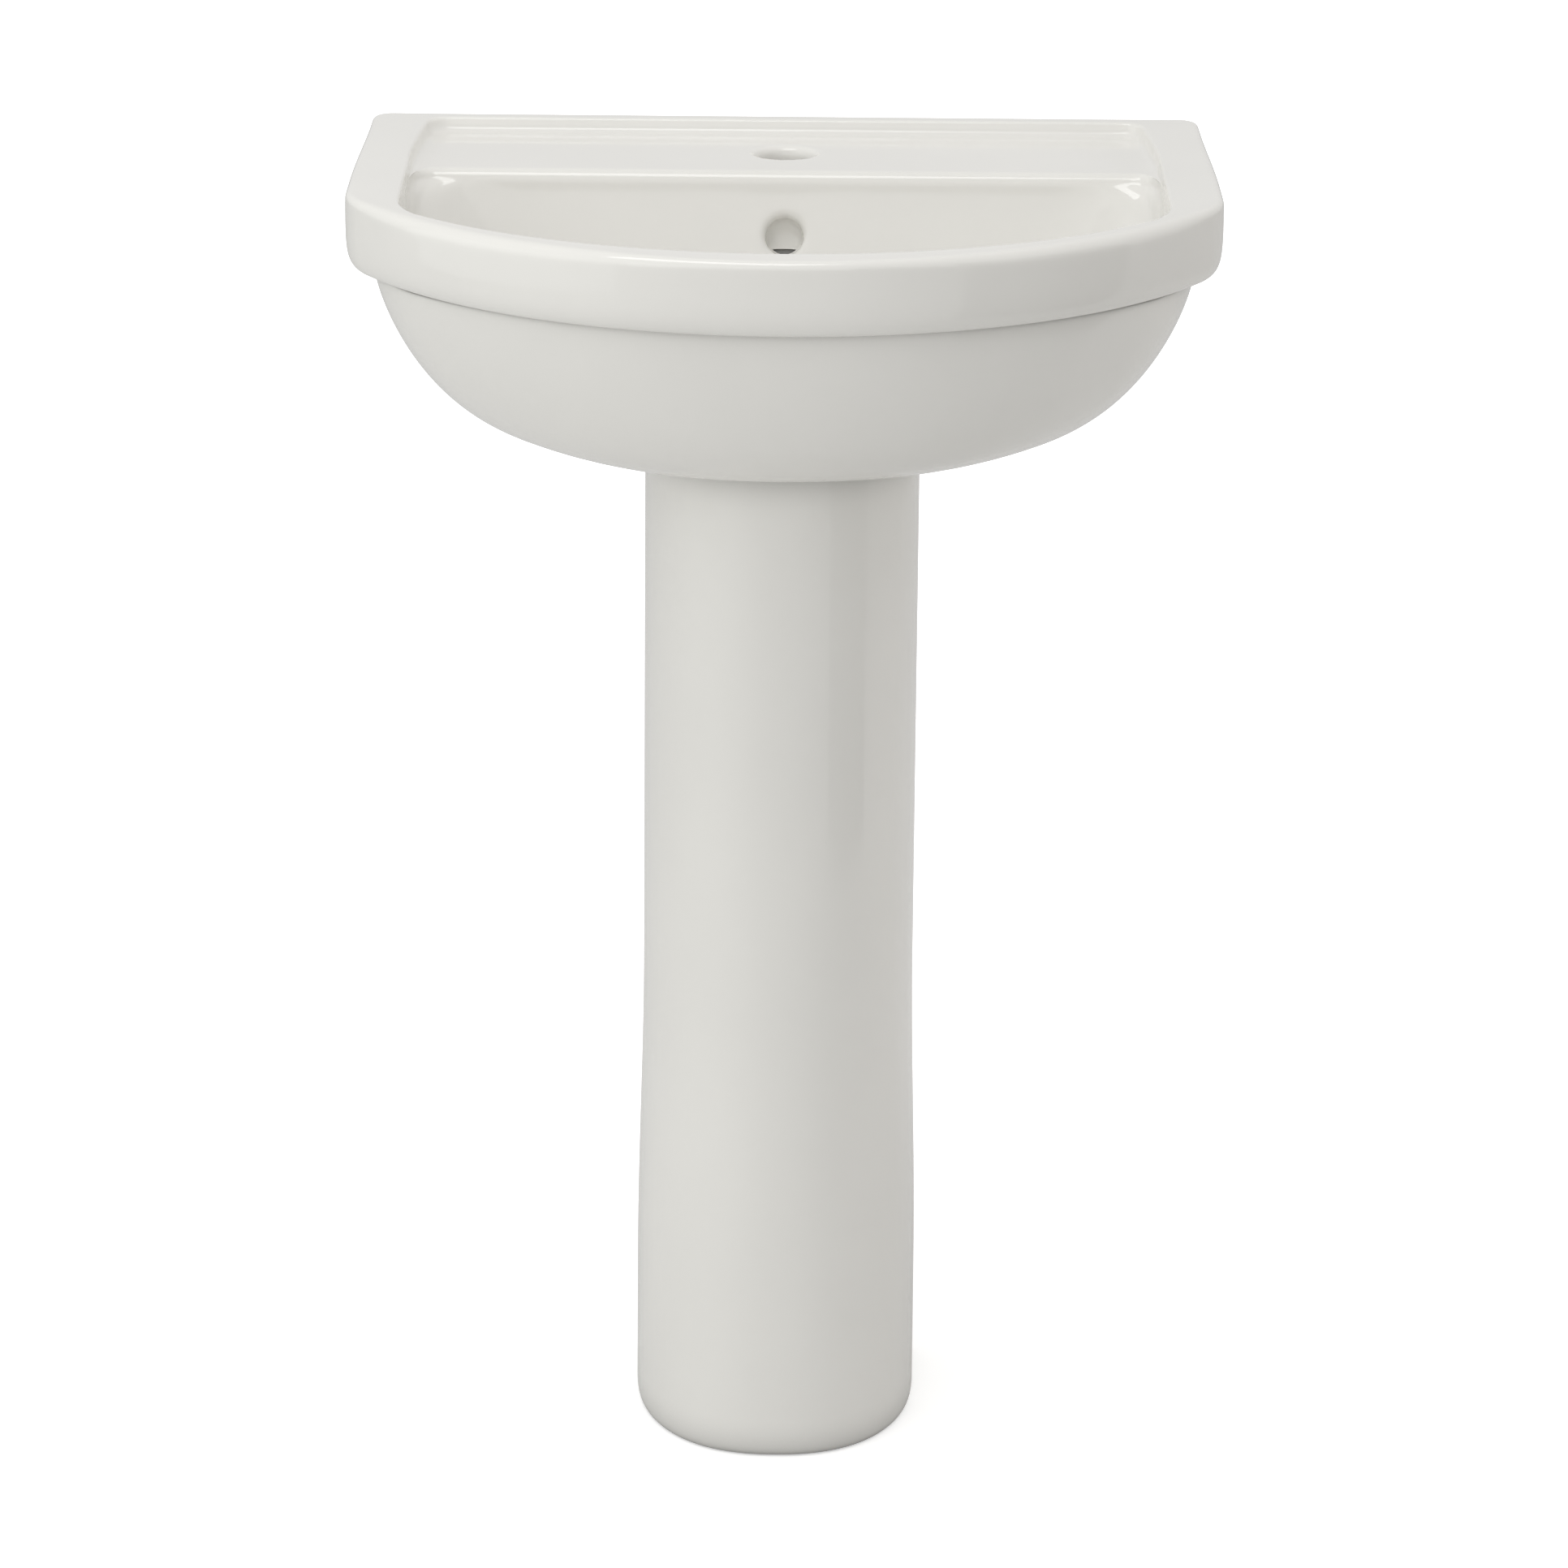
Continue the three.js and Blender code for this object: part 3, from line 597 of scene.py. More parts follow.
def deck_height(x, y):
    """The deck lies 9 below the rim and is dished by up to 0.7."""
    return TOP - 9 - 0.7 * (1 - (x / 240) ** 2) * sin(pi * min(1.0, max(0.0, (-y - 18) / 116)))


grid = {}
for row in range(ROWS + 1):
    grid[row, 0] = border[TURN + 2 - row]
    grid[row, LAST] = border[(2 * HALF - TURN - 2 + row) % (2 * HALF)]
for column in range(LAST + 1):
    grid[0, column] = border[TURN + 2 + column]
middle_rows = {ROWS: -129.4, ROWS - 1: -124, ROWS - 2: -114, ROWS - 3: -103}
for row in range(1, ROWS + 1):
    side_x = drawn_at(border[TURN + 2 - max(row, 2)])[0]
    side_y = drawn_at(border[TURN + 2 - row])[1]
    for column in range(1, LAST):
        x = side_x * drawn_at(border[TURN + 2 + column])[0] / drawn_at(border[TURN])[0]
        weight = corner_weight(side_x - abs(x))
        y = lerp(middle_rows.get(row, side_y), side_y, weight)
        grid[row, column] = add([(x, y, deck_height(x, y))])[0]
for row in range(ROWS):
    for column in range(LAST):
        corners = ((row, column), (row + 1, column), (row + 1, column + 1), (row, column + 1))
        if not (TAP[0] <= column < TAP[1] and TAP[2] <= row < TAP[3]):
            faces.append(tuple(grid[corner] for corner in corners))


def patch_border(nodes, c0, c1, r0, r1):
    """The vertices round a square patch, anticlockwise from its right back corner."""
    top = [nodes[r0, c] for c in range(c0, c1)]
    left = [nodes[r, c1] for r in range(r0, r1)]
    bottom = [nodes[r1, c] for c in range(c1, c0, -1)]
    right = [nodes[r, c0] for r in range(r1, r0, -1)]
    return top + left + bottom + right


ANGLES = [radians(45 + 22.5 * k) for k in range(16)]
below = patch_border(grid, *TAP)
for radius, z in ((26.4, None), (24.4, 810.3), (22.4, 810.0), (20.6, 809.0), (19.3, 807.2), (18.5, 804.8),
                  (18.2, 801.5), (18.0, 788.0), (18.0, 784.0)):
    ring = []
    for angle in ANGLES:
        x, y = radius * cos(angle), TAP_Y + radius * sin(angle)
        ring.append((x, y, z or deck_height(x, y)))
    below = grow(below, ring)
faces.append(tuple(below))

# The bowl: loops from that line and the inner edge down to the waste, with the
# overflow's mouth let into the back wall.
LIP_Z, LIP_RADIUS = 803.2, 7.8  # where the deck rolls into the bowl
UNDER_DECK = 2 * EDGE + LAST  # a loop's point below deck column c is UNDER_DECK - c
MOUTH = (10, 14, 5, 9)  # columns and loops of the patch that carries the mouth
back_line = [drawn_at(grid[ROWS, c]) for c in range(LAST // 2 + 1)]
front_shares = spacing([drawn_at(border[i]) for i in range(EDGE + 1)])
back_shares = spacing(back_line)


def whole_loop(front, back, z):
    """Right end of the deck's edge, round the front to its left end and back along it."""
    points = front[::-1] + [(-x, y) for x, y in front[1:] + back[1:]] + back[-2:0:-1]
    return [(x, y, z) for x, y in points]


def bowl_loop(share, expand=0.0):
    front, back = bowl_half(share, expand)
    front, back = resampled(front, front_shares), resampled(back, back_shares)
    return whole_loop(front, back, bowl_height(share, expand))


loop = border[EDGE::-1] + border[:-EDGE - 1:-1]
loops = [loop + [grid[ROWS, c] for c in range(LAST - 1, 0, -1)]]
side = inner_ring(0.0, DECK_BACK)[:EDGE + 1]
for angle in (110, 130, 150, 169.5):
    advance = LIP_RADIUS * -cos(radians(angle))
    back = []
    for (x, y), (x0, y0) in zip(back_line, back_line[1:] + [(back_line[-1][0] - 1, back_line[-1][1])]):
        length = hypot(x0 - x, y0 - y)
        back.append((x - advance * (y0 - y) / length, y + advance * (x0 - x) / length))
    back[0] = side[EDGE]
    loops.append(add(whole_loop(side, back, LIP_Z + LIP_RADIUS * sin(radians(angle)))))
depths = [share_at(z) for z in (797, 784, 771, 758, 745)]
depths += [sin(radians(t)) for t in (36, 43, 50, 57, 64, 71, 77, 82, 86, 88.3, 89.4, 90)]
for share in depths:
    loops.append(add(bowl_loop(share)))
throat = [drawn_at(i) for i in loops[-1]]
for share, z in ((0.99, 669.6), (0.975, 668.6), (0.97, 667.5), (0.97, 666.3), (0.955, 665.6), (0.93, 665.5),
                 (0.71, 665.5), (0.685, 665.1), (0.676, 664.0), (0.676, 661.5), (0.676, 661.0)):
    loops.append(add([(x * share, lerp(WASTE_Y, y, share), z) for x, y in throat]))
skipped = range(UNDER_DECK - MOUTH[1], UNDER_DECK - MOUTH[0])
for i, (upper, lower) in enumerate(zip(loops, loops[1:])):
    bridge(upper, lower, skipped if MOUTH[2] <= i < MOUTH[3] else ())
faces.append(tuple(loops[-1]))

wall_nodes = {(r, c): loop[UNDER_DECK - c] for r, loop in enumerate(loops) for c in range(1, LAST)}
below = patch_border(wall_nodes, *MOUTH)
lean, into = radians(16), radians(20)  # the back wall's lean and the hole's fall
for radius, depth in ((20.5, 0.0), (17.0, 0.1), (14.8, 0.6), (13.4, 1.6), (12.6, 3.4), (12.3, 6.5),
                      (12.1, 9.5), (11.2, 12.0), (8.6, 13.8), (4.4, 14.6)):
    ring = []
    for angle in ANGLES:
        z = OVERFLOW_Z + radius * sin(angle) * cos(lean)
        y = back_wall(share_at(z)) + depth * cos(into)
        ring.append((radius * cos(angle), y, z - depth * sin(into)))
    below = grow(below, ring)
faces.append(tuple(below))


def mesh_object(name, vertices, polygons, material, weld=False):
    """A mesh with its faces turned outward; weld joins the points that meet on a turned axis."""
    mesh = bpy.data.meshes.new(name)
    mesh.from_pydata(vertices, [], polygons)
    shape = bmesh.new()
    shape.from_mesh(mesh)
    if weld:
        bmesh.ops.remove_doubles(shape, verts=shape.verts, dist=1e-7)
    bmesh.ops.delete(shape, geom=[v for v in shape.verts if not v.link_faces], context="VERTS")
    bmesh.ops.recalc_face_normals(shape, faces=shape.faces)
    shape.to_mesh(mesh)
    shape.free()
    mesh.materials.append(material)
    return new_object(name, mesh)


def settled(made):
    """The object with its modifiers worked into its mesh."""
    mesh = bpy.data.meshes.new_from_object(made.evaluated_get(bpy.context.evaluated_depsgraph_get()))
    made.modifiers.clear()
    made.data = mesh
    return made


def subdivided(made, levels):
    divide = made.modifiers.new("divide", "SUBSURF")
    divide.levels = levels
    divide.render_levels = levels
    return settled(made)


def shaded(made, sharp_from):
    made.data.shade_smooth()
    made.data.set_sharp_from_angle(angle=radians(sharp_from))


basin = subdivided(mesh_object("basin_casting", verts, faces, china), 2)

# The back of the casting: a hollow behind the bowl, open below and through the
# wall face, with the overflow's rib and the thicker china under the tap left
# standing in it; the foot that the waste clamps; and the two wall fixing holes.


def block(name, x0, x1, y0, y1, z0, z1):
    corners = [(x, y, z) for z in (z0, z1) for y in (y0, y1) for x in (x0, x1)]
    sides = [(0, 1, 3, 2), (4, 6, 7, 5), (0, 4, 5, 1), (2, 3, 7, 6), (0, 2, 6, 4), (1, 5, 7, 3)]
    return mesh_object(name, [in_frame(*c) for c in corners], sides, bare)


def ring_faces(count, levels, closed=False):
    """The faces between rings of equal count; closed joins the last ring to the first."""
    made = []
    for level in range(levels if closed else levels - 1):
        low, high = level * count, (level + 1) % levels * count
        for i in range(count):
            j = (i + 1) % count
            made.append((low + i, low + j, high + j, high + i))
    return made


def stacked(name, rings):
    """A closed solid through level rings of equal count."""
    count = len(rings[0])
    ends = [tuple(range(count)), tuple(range(count * (len(rings) - 1), count * len(rings)))]
    corners = [in_frame(*p) for ring in rings for p in ring]
    return mesh_object(name, corners, ends + ring_faces(count, len(rings)), bare)


def drum(name, radius, z0, z1, x=0.0, y=0.0, sides=64, along="Z"):
    turn = [2 * pi * i / sides for i in range(sides)]
    rings = [[(x + radius * cos(a), y + radius * sin(a), z) for a in turn] for z in (z0, z1)]
    if along == "Y":
        rings = [[(across, end, up) for across, up, end in ring] for ring in rings]
    return stacked(name, rings)


def carve(target, operation, tool):
    """Faces that the tool leaves are in its material where the target has it, or else in the first."""
    step = target.modifiers.new("carve", "BOOLEAN")
    step.operation = operation
    step.solver = "EXACT"
    step.object = tool
    settled(target)
    bpy.data.objects.remove(tool)
    return target


def bowl_outside():
    steps = (90, 87, 82, 75, 66, 57, 48, 39, 30, 20, 10, 0)
    rings = [bowl_loop(sin(radians(t)), CHINA_WALL) for t in steps]
    rings.append([(x, y, 825) for x, y, _ in rings[-1]])
    return stacked("bowl_outside", rings)


def overflow_run(name, casing):
    """The overflow's passage behind the bowl, or its rib when a casing goes round it."""
    reach = 5 + casing
    line = [(-119, 793 + casing) if casing else (-130, 760), (-131, 756), (-147, 712), (-164, 678)]
    front = [(y - reach, z) for y, z in line]
    rear = [(y + reach, z) for y, z in line][::-1]
    low, high = 653 - reach, 653 + reach
    foot = [(-168 - reach, high), (WASTE_Y, high), (WASTE_Y, low), (-168 + reach, low)]
    outline = front + foot + rear
    half = 18 + casing
    count = len(outline)
    corners = [in_frame(x, y, z) for x in (-half, half) for y, z in outline]
    polygons = [tuple(range(count)), tuple(range(count, 2 * count))] + ring_faces(count, 2)
    return mesh_object(name, corners, polygons, bare)


levels = [sweep_ring(radians(t), CHINA_WALL) for t in (90, 80, 70, 60, 50, 40, 30, 20, 10, 0)]
hollow = stacked("hollow", levels + [[(x, y, 800) for x, y in rim_ring(13)]])
carve(hollow, "INTERSECT", block("behind", -300, 300, -165, -11, 600, 830))
carve(hollow, "UNION", block("hatch", -78, 78, -160, -11, 640, 700))
carve(hollow, "DIFFERENCE", bowl_outside())
carve(hollow, "DIFFERENCE", drum("tap_boss", 32, 789, 830, 0, TAP_Y))
carve(hollow, "UNION", block("notch", -108, 108, -12, 1, 640, 758))
carve(hollow, "DIFFERENCE", overflow_run("rib", 8.0))
carve(hollow, "UNION", overflow_run("passage", 0.0))
carve(hollow, "UNION", drum("waste_way", 22.95, 600, 662.5, 0, WASTE_Y, 96))
for side_x in (-140, 140):
    carve(hollow, "UNION", drum("fixing", 6.5, -60, 5, side_x, 725, 32, "Y"))
carve(basin, "UNION", drum("boss", 37, 631, 662, 0, WASTE_Y, 96))
carve(basin, "DIFFERENCE", hollow)
shaded(basin, 50)
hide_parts("basin")
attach(basin, "sink")

# ---- Pedestal ----
# A slip-cast column of the same china, open at the back, with a shelf at the top
# that carries the basin and a flange at the foot for two floor screws. Glazed
# outside and round its edges, bare inside and on the faces it was fired on.
LIP = 66  # half the opening between the two back returns


def column_pairs(z, edge, hollowed):
    """Outer and inner points of the right half, in step, from the front to the back return."""
    spread = 3.5 * (1 - smooth(z, 100, 300))
    half_width, depth = 88 + spread - edge, 131 + 1.5 * spread - edge
    inner_width, inner_depth = lerp(60, 78 + spread, hollowed), lerp(102, 121 + 1.5 * spread, hollowed)
    outer, inner = [], []
    for i in range(33):
        angle = pi / 2 * i / 32
        for line, width, reach in ((outer, half_width, depth), (inner, inner_width, inner_depth)):
            radius = pedestal_reach(angle, width, reach)
            line.append((radius * sin(angle), COLUMN_Y - radius * cos(angle)))
    for y in (-168, -155, -142, -133):
        outer.append((half_width, y))
        inner.append((inner_width, y))
    outer += [(half_width, -124), (half_width - 0.6, -121.6), (half_width - 2.4, -120.2),
              (half_width - 5, -120), (74, -120), (68.5, -120), (66.6, -120.6), (LIP, -122)]
    inner.append((inner_width, -131))
    for share, y in ((0.93, -129.6), (0.8, -129), (0.6, -129), (0.4, -129), (0.2, -129),
                     (0.1, -128.6), (0, -127)):
        inner.append((LIP + (inner_width - LIP) * share, y))
    return outer, inner


# Outer height, how far the outer edge is drawn in, inner height, and how far the
# inside has opened from the foot's flange or the top's shelf to the full hollow.
FOOT = [(0, 3.0, 0, 0), (0.5, 1.5, 0.8, 0), (1.8, 0.5, 3, 0), (4, 0, 6, 0), (8, 0, 10, 0),
        (12, 0, 11.5, 0.03), (16, 0, 12, 0.12), (20, 0, 12, 0.85), (25, 0, 13.2, 0.97), (32, 0, 17, 1)]
MIDDLE = [(z, 0, z, 1) for z in (60, 85, *range(105, 306, 20), 360, 430, 500, 570, 615)]
HEAD = [(626, 0, 638, 1), (632, 0, 643, 0.97), (637, 0, 644.7, 0.85), (641, 0, 644.8, 0.12),
        (645, 0, 645.4, 0.03), (649, 0, 647, 0), (653, 0, 651, 0), (655.2, 0.4, 654.5, 0),
        (656.3, 1.2, 656, 0.01), (656.7, 2.6, 656.7, 0.03)]
column_levels = FOOT + MIDDLE + HEAD
vertices = []
for z_outer, edge, z_inner, hollowed in column_levels:
    outer, inner = column_pairs(z_outer, edge, hollowed)
    outer = [(-x, y) for x, y in outer[:0:-1]] + outer
    inner = [(-x, y) for x, y in inner[:0:-1]] + inner
    vertices += [in_frame(x, y, z_outer) for x, y in outer]
    vertices += [in_frame(x, y, z_inner) for x, y in inner[::-1]]
pairs = len(outer)
count = 2 * pairs
polygons = ring_faces(count, len(column_levels))
bare_faces = []
for k in range(len(polygons)):
    level, i = divmod(k, count)
    inside = pairs + 5 <= i < count - 6
    bare_faces.append(1 if inside or level == 0 and i >= pairs else 0)
for base in (0, len(vertices) - count):
    for i in range(pairs - 1):
        polygons.append((base + i, base + i + 1, base + count - 2 - i, base + count - 1 - i))
        bare_faces.append(1)
pedestal = mesh_object("pedestal_casting", vertices, polygons, china)
pedestal.data.materials.append(bare)
pedestal.data.polygons.foreach_set("material_index", bare_faces)
subdivided(pedestal, 1)
for side_x in (-71.5, 71.5):
    carve(pedestal, "DIFFERENCE", drum("screw_hole", 4, -5, 20, side_x, -150, 32))
shaded(pedestal, 50)
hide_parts("pedestal")
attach(pedestal, "sink")

# ---- Metals, rubber and plastic ----
# Chrome plate over brass on the pieces that show in the bowl, plain turned brass
# below, black rubber for the seals and white polypropylene for the trap.
marks, taken, given = group_with(
    "TurnedMarks",
    [("Depth", "Float", 0.1), ("Pitch", "Float", 2600.0)],
    [("Normal", "Vector"), ("Smudge", "Float")],
)
coords = add_node(marks, "ShaderNodeTexCoord")
lines = add_node(marks, "ShaderNodeTexWave", {"Distortion": 0.4, "Detail": 1.0}, bands_direction="Z")
haze = noise(marks, 90.0, 4.0, 0.6)
bump = add_node(marks, "ShaderNodeBump", {"Distance": 0.00005})
join(marks, [
    (coords, "Object", lines, "Vector"),
    (coords, "Object", haze, "Vector"),
    (taken, "Pitch", lines, "Scale"),
    (taken, "Depth", bump, "Strength"),
    (lines, "Fac", bump, "Height"),
    (bump, "Normal", given, "Normal"),
    (haze, "Fac", given, "Smudge"),
])


def metal(name, colour, stain, rough_low, rough_high, depth):
    made, tree, skin = new_material(name, {"Metallic": 1.0})
    turned = add_node(tree, "ShaderNodeGroup", node_tree=marks)
    turned.inputs["Depth"].default_value = depth
    rough = mapped(tree, 0.35, 0.75, rough_low, rough_high)
    tone = two_tones(tree, 0.4, colour, 0.8, stain)
    join(tree, [
        (turned, "Smudge", rough, "Value"),
        (turned, "Smudge", tone, "Fac"),
        (tone, "Color", skin, "Base Color"),
        (rough, "Result", skin, "Roughness"),
        (turned, "Normal", skin, "Normal"),
    ])
    return made


def moulded(name, colour, dust, roughness, grain_size, strength, translucence=0.0):
    values = {"Roughness": roughness, "Subsurface Weight": translucence, "Subsurface Scale": 0.002}
    return grained(name, values, (0.45, colour, 0.85, dust), (40.0, 5.0), grain_size, strength, 0.0002)


chrome = metal("chrome_plate", (0.78, 0.79, 0.8, 1), (0.66, 0.67, 0.68, 1), 0.04, 0.14, 0.05)
brass = metal("turned_brass", (0.72, 0.52, 0.24, 1), (0.5, 0.34, 0.14, 1), 0.2, 0.4, 0.4)
rubber = moulded("black_rubber", (0.018, 0.018, 0.019, 1), (0.06, 0.06, 0.058, 1), 0.62, 900.0, 0.2)
plastic = moulded("white_polypropylene", (0.78, 0.78, 0.76, 1), (0.7, 0.69, 0.66, 1), 0.36, 500.0, 0.08, 0.15)

# ---- Waste: flange and tail ----
# Chromed brass, turned: a dished flange in the bowl's recess, a threaded tail down
# through the boss, two overflow slots and the bridge that holds the cartridge.


def eased(profile, radius, closed):
    """The profile with each corner turned into a small round."""
    count = len(profile)
    made = []
    for i, (r, h) in enumerate(profile):
        if not closed and i in (0, count - 1):
            made.append((r, h))
            continue
        r0, h0 = profile[i - 1]
        r1, h1 = profile[(i + 1) % count]
        back, ahead = hypot(r0 - r, h0 - h), hypot(r1 - r, h1 - h)
        near = min(radius, 0.4 * back) / back
        far = min(radius, 0.4 * ahead) / ahead
        start = (lerp(r, r0, near), lerp(h, h0, near))
        end = (lerp(r, r1, far), lerp(h, h1, far))
        for t in (0.0, 0.25, 0.5, 0.75, 1.0):
            a = (lerp(start[0], r, t), lerp(start[1], h, t))
            b = (lerp(r, end[0], t), lerp(h, end[1], t))
            made.append((lerp(a[0], b[0], t), lerp(a[1], b[1], t)))
    return made


def lathe(name, profile, material, radius=0.4, sides=96):
    """A profile of (radius, height) in mm turned about the local Z axis."""
    closed = not (profile[0][0] == 0 and profile[-1][0] == 0)
    points = eased(profile, radius, closed)
    corners = []
    for r, h in points:
        for i in range(sides):
            angle = 2 * pi * i / sides
            corners.append((r * cos(angle) * MM, r * sin(angle) * MM, h * MM))
    return mesh_object(name, corners, ring_faces(sides, len(points), closed), material, weld=True)


LAID_BACK = Matrix.Rotation(radians(-90), 4, "X")  # a form's top turned towards the wall


def fitted(made, node, body, along="Z", axis=None):
    """Puts a piece drawn at the origin where its CAD node is, and makes it ride on the body."""
    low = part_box(node)[0]
    axis_low, axis_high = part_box(axis or node)
    middle = (axis_low + axis_high) / 2
    if along == "Z":
        place = Matrix.Translation((middle.x, middle.y, low.z))
    else:
        place = Matrix.Translation((middle.x, low.y, middle.z)) @ LAID_BACK
    made.data.transform(place)
    shaded(made, 40)
    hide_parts(node)
    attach(made, body)


def length_of(node, axis):
    """A CAD node's extent along an axis, in mm."""
    low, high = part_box(node)
    return (high[axis] - low[axis]) / MM


def local_block(name, x0, x1, y0, y1, z0, z1):
    made = block(name, x0, x1, y0, y1, z0, z1)
    made.data.transform(Matrix.Translation((0, -WALL, -RIM + TOP * MM)))
    return made


def modelling_tree(name, inputs):
    """A Geometry Nodes tree that adds a form to the piece that carries it."""
    tree = bpy.data.node_groups.new(name, "GeometryNodeTree")
    sockets = [("Geometry", "Geometry"), *inputs, ("Material", "Material")]
    for label, kind in sockets:
        tree.interface.new_socket(label, in_out="INPUT", socket_type="NodeSocket" + kind)
    tree.interface.new_socket("Geometry", in_out="OUTPUT", socket_type="NodeSocketGeometry")
    return tree, tree.nodes.new("NodeGroupInput"), tree.nodes.new("NodeGroupOutput")


def end_tree(tree, taken, given, form, socket):
    """Lifts the form to its start, joins it to the piece and gives the whole its material."""
    lifted = add_node(tree, "GeometryNodeTransform")
    offset = add_node(tree, "ShaderNodeCombineXYZ")
    both = add_node(tree, "GeometryNodeJoinGeometry")
    real = add_node(tree, "GeometryNodeRealizeInstances")
    covered = add_node(tree, "GeometryNodeSetMaterial")
    join(tree, [
        (taken, "Start", offset, "Z"),
        (form, socket, lifted, "Geometry"),
        (offset, "Vector", lifted, "Translation"),
        (lifted, "Geometry", both, "Geometry"),
        (taken, "Geometry", both, "Geometry"),
        (both, "Geometry", real, "Geometry"),
        (real, "Geometry", covered, "Geometry"),
        (taken, "Material", covered, "Material"),
        (covered, "Geometry", given, "Geometry"),
    ])


def worked(made, tree, values, sizes):
    """The piece with a tree's form worked in; sizes are in mm."""
    step = made.modifiers.new(tree.name, "NODES")
    step.node_group = tree
    sockets = {item.name: item.identifier for item in tree.interface.items_tree if item.in_out == "INPUT"}
    for label, value in values.items():
        step[sockets[label]] = value
    for label, value in sizes.items():
        step[sockets[label]] = value * MM
    return settled(made)


thread, taken, given = modelling_tree(
    "Thread", [(label, "Float") for label in ("Radius", "Start", "Length", "Turns", "Depth")])
helix = add_node(thread, "GeometryNodeCurveSpiral", {"Resolution": 64})
crest = add_node(thread, "GeometryNodeCurvePrimitiveCircle", {"Resolution": 4})
ridge = add_node(thread, "GeometryNodeCurveToMesh", {"Fill Caps": True})
join(thread, [
    (taken, "Radius", helix, "Start Radius"),
    (taken, "Radius", helix, "End Radius"),
    (taken, "Turns", helix, "Rotations"),
    (taken, "Length", helix, "Height"),
    (taken, "Depth", crest, "Radius"),
    (helix, "Curve", ridge, "Curve"),
    (crest, "Curve", ridge, "Profile Curve"),
])
end_tree(thread, taken, given, ridge, "Mesh")


def threaded(made, material, radius, start, length, turns, depth):
    return worked(made, thread, {"Turns": turns, "Material": material},
                  {"Radius": radius, "Start": start, "Length": length, "Depth": depth})


top = length_of("waste_body", 2)
waste = lathe("waste_flange_and_tail", [
    (17.8, 0), (20.9, 0), (20.9, top - 2.5), (32, top - 2.5), (32, top - 0.8), (31, top),
    (27, top - 0.35), (22.5, top - 0.6), (20.8, top - 1.3), (19.6, top - 2.3), (17.8, top - 6),
], chrome, 0.5, 128)
bridge_low, bridge_high = 60.0, 66.0
carve(waste, "DIFFERENCE", local_block("slot", -9, 9, -30, 30, bridge_low + 8, bridge_low + 20))
carve(waste, "UNION", local_block("web", -18.5, 18.5, -3, 3, bridge_low, bridge_high))
hub = [(5.2, bridge_low), (7.5, bridge_low), (7.5, bridge_high), (5.2, bridge_high)]
carve(waste, "UNION", lathe("hub", hub, chrome, 0.3, 48))
threaded(waste, chrome, 20.85, 2, 48, 22.0, 0.42)
fitted(waste, "waste_body", "sink")

# ---- Waste: click-clack cartridge and plug ----
# A brass cartridge through the bridge latches the stem; the chromed cap on the stem
# carries a rubber ring that meets the flange's cone when the cap is pressed down.
cartridge = lathe("latch_cartridge", [
    (2.6, 0), (4.4, 0), (5, 0.8), (5, 20.3), (6.5, 20.3), (6.5, 22.4), (6.1, 22.8), (6.1, 23.3), (6.5, 23.7),
    (6.5, 26), (2.6, 26),
], brass, 0.25, 64)
threaded(cartridge, brass, 4.95, 1.5, 16, 16.0, 0.22)
fitted(cartridge, "waste_cartridge", "sink")

tip = length_of("plug_stem", 2)
stem = lathe("plug_stem_turned", [
    (0, 0), (2.0, 0), (2.4, 0.6), (2.4, 6), (1.9, 6.4), (1.9, 8.2), (2.4, 8.6), (2.4, tip - 4),
    (2.1, tip - 3.6), (2.1, tip - 3), (2.4, tip - 2.6), (2.4, tip), (0, tip),
], brass, 0.2, 48)
fitted(stem, "plug_stem", "plug")

cap = lathe("plug_cap_pressed", [
    (0, 0), (15.2, 0), (16, 0.5), (16, 1.8), (20.3, 1.8), (21.2, 2.3), (21.5, 3.2), (21.2, 4.0), (20.2, 4.7),
    (18.2, 5.2), (15, 5.7), (11, 6.15), (6, 6.5), (0, 6.6),
], chrome, 0.5, 128)
fitted(cap, "plug_cap", "plug")

seal = lathe("plug_seal_ring", [(16.3, 0), (19.4, 0), (20.2, 0.8), (20.2, 1.3), (16.3, 1.3)], rubber, 0.3)
fitted(seal, "plug_seal", "plug")

# ---- Waste: washers, slip ring and back nut ----
# The stack that clamps the flange to the china: a thin rubber ring above, a shaped
# rubber washer, a plastic slip ring and a hexagonal brass nut below the boss.
above = lathe("flange_washer", [(21.3, 0), (31.5, 0), (31.5, 0.9), (21.3, 0.9)], rubber, 0.25)
fitted(above, "waste_top_washer", "sink")
under = lathe("boss_washer", [(21.2, 0), (30, 0), (32, 1.1), (34, 3), (34, 8.7), (21.2, 8.7)], rubber, 0.7)
fitted(under, "waste_lower_washer", "sink")
slip = lathe("slip_ring", [(21.2, 0), (31, 0), (31, 1.7), (21.2, 1.7)], plastic, 0.3)
fitted(slip, "waste_slip_ring", "sink")

nut = lathe("hexagon_nut", [(0, 0), (30, 0), (30, 11.5), (0, 11.5)], brass, 0.0, 6)
chamfer = [(0, 0), (26.6, 0), (30.5, 2.2), (30.5, 12), (0, 12)]
carve(nut, "INTERSECT", lathe("chamfer", chamfer, brass, 0.2))
nut_flange = [(0, 11), (30.4, 11), (31, 11.6), (31, 13.4), (30.4, 14), (0, 14)]
carve(nut, "UNION", lathe("nut_flange", nut_flange, brass, 0.3))
bore = [(0, -1), (22.2, -1), (21.2, 1), (21.2, 13), (22, 15), (0, 15)]
carve(nut, "DIFFERENCE", lathe("bore", bore, brass, 0.1))
fitted(nut, "waste_back_nut", "sink")

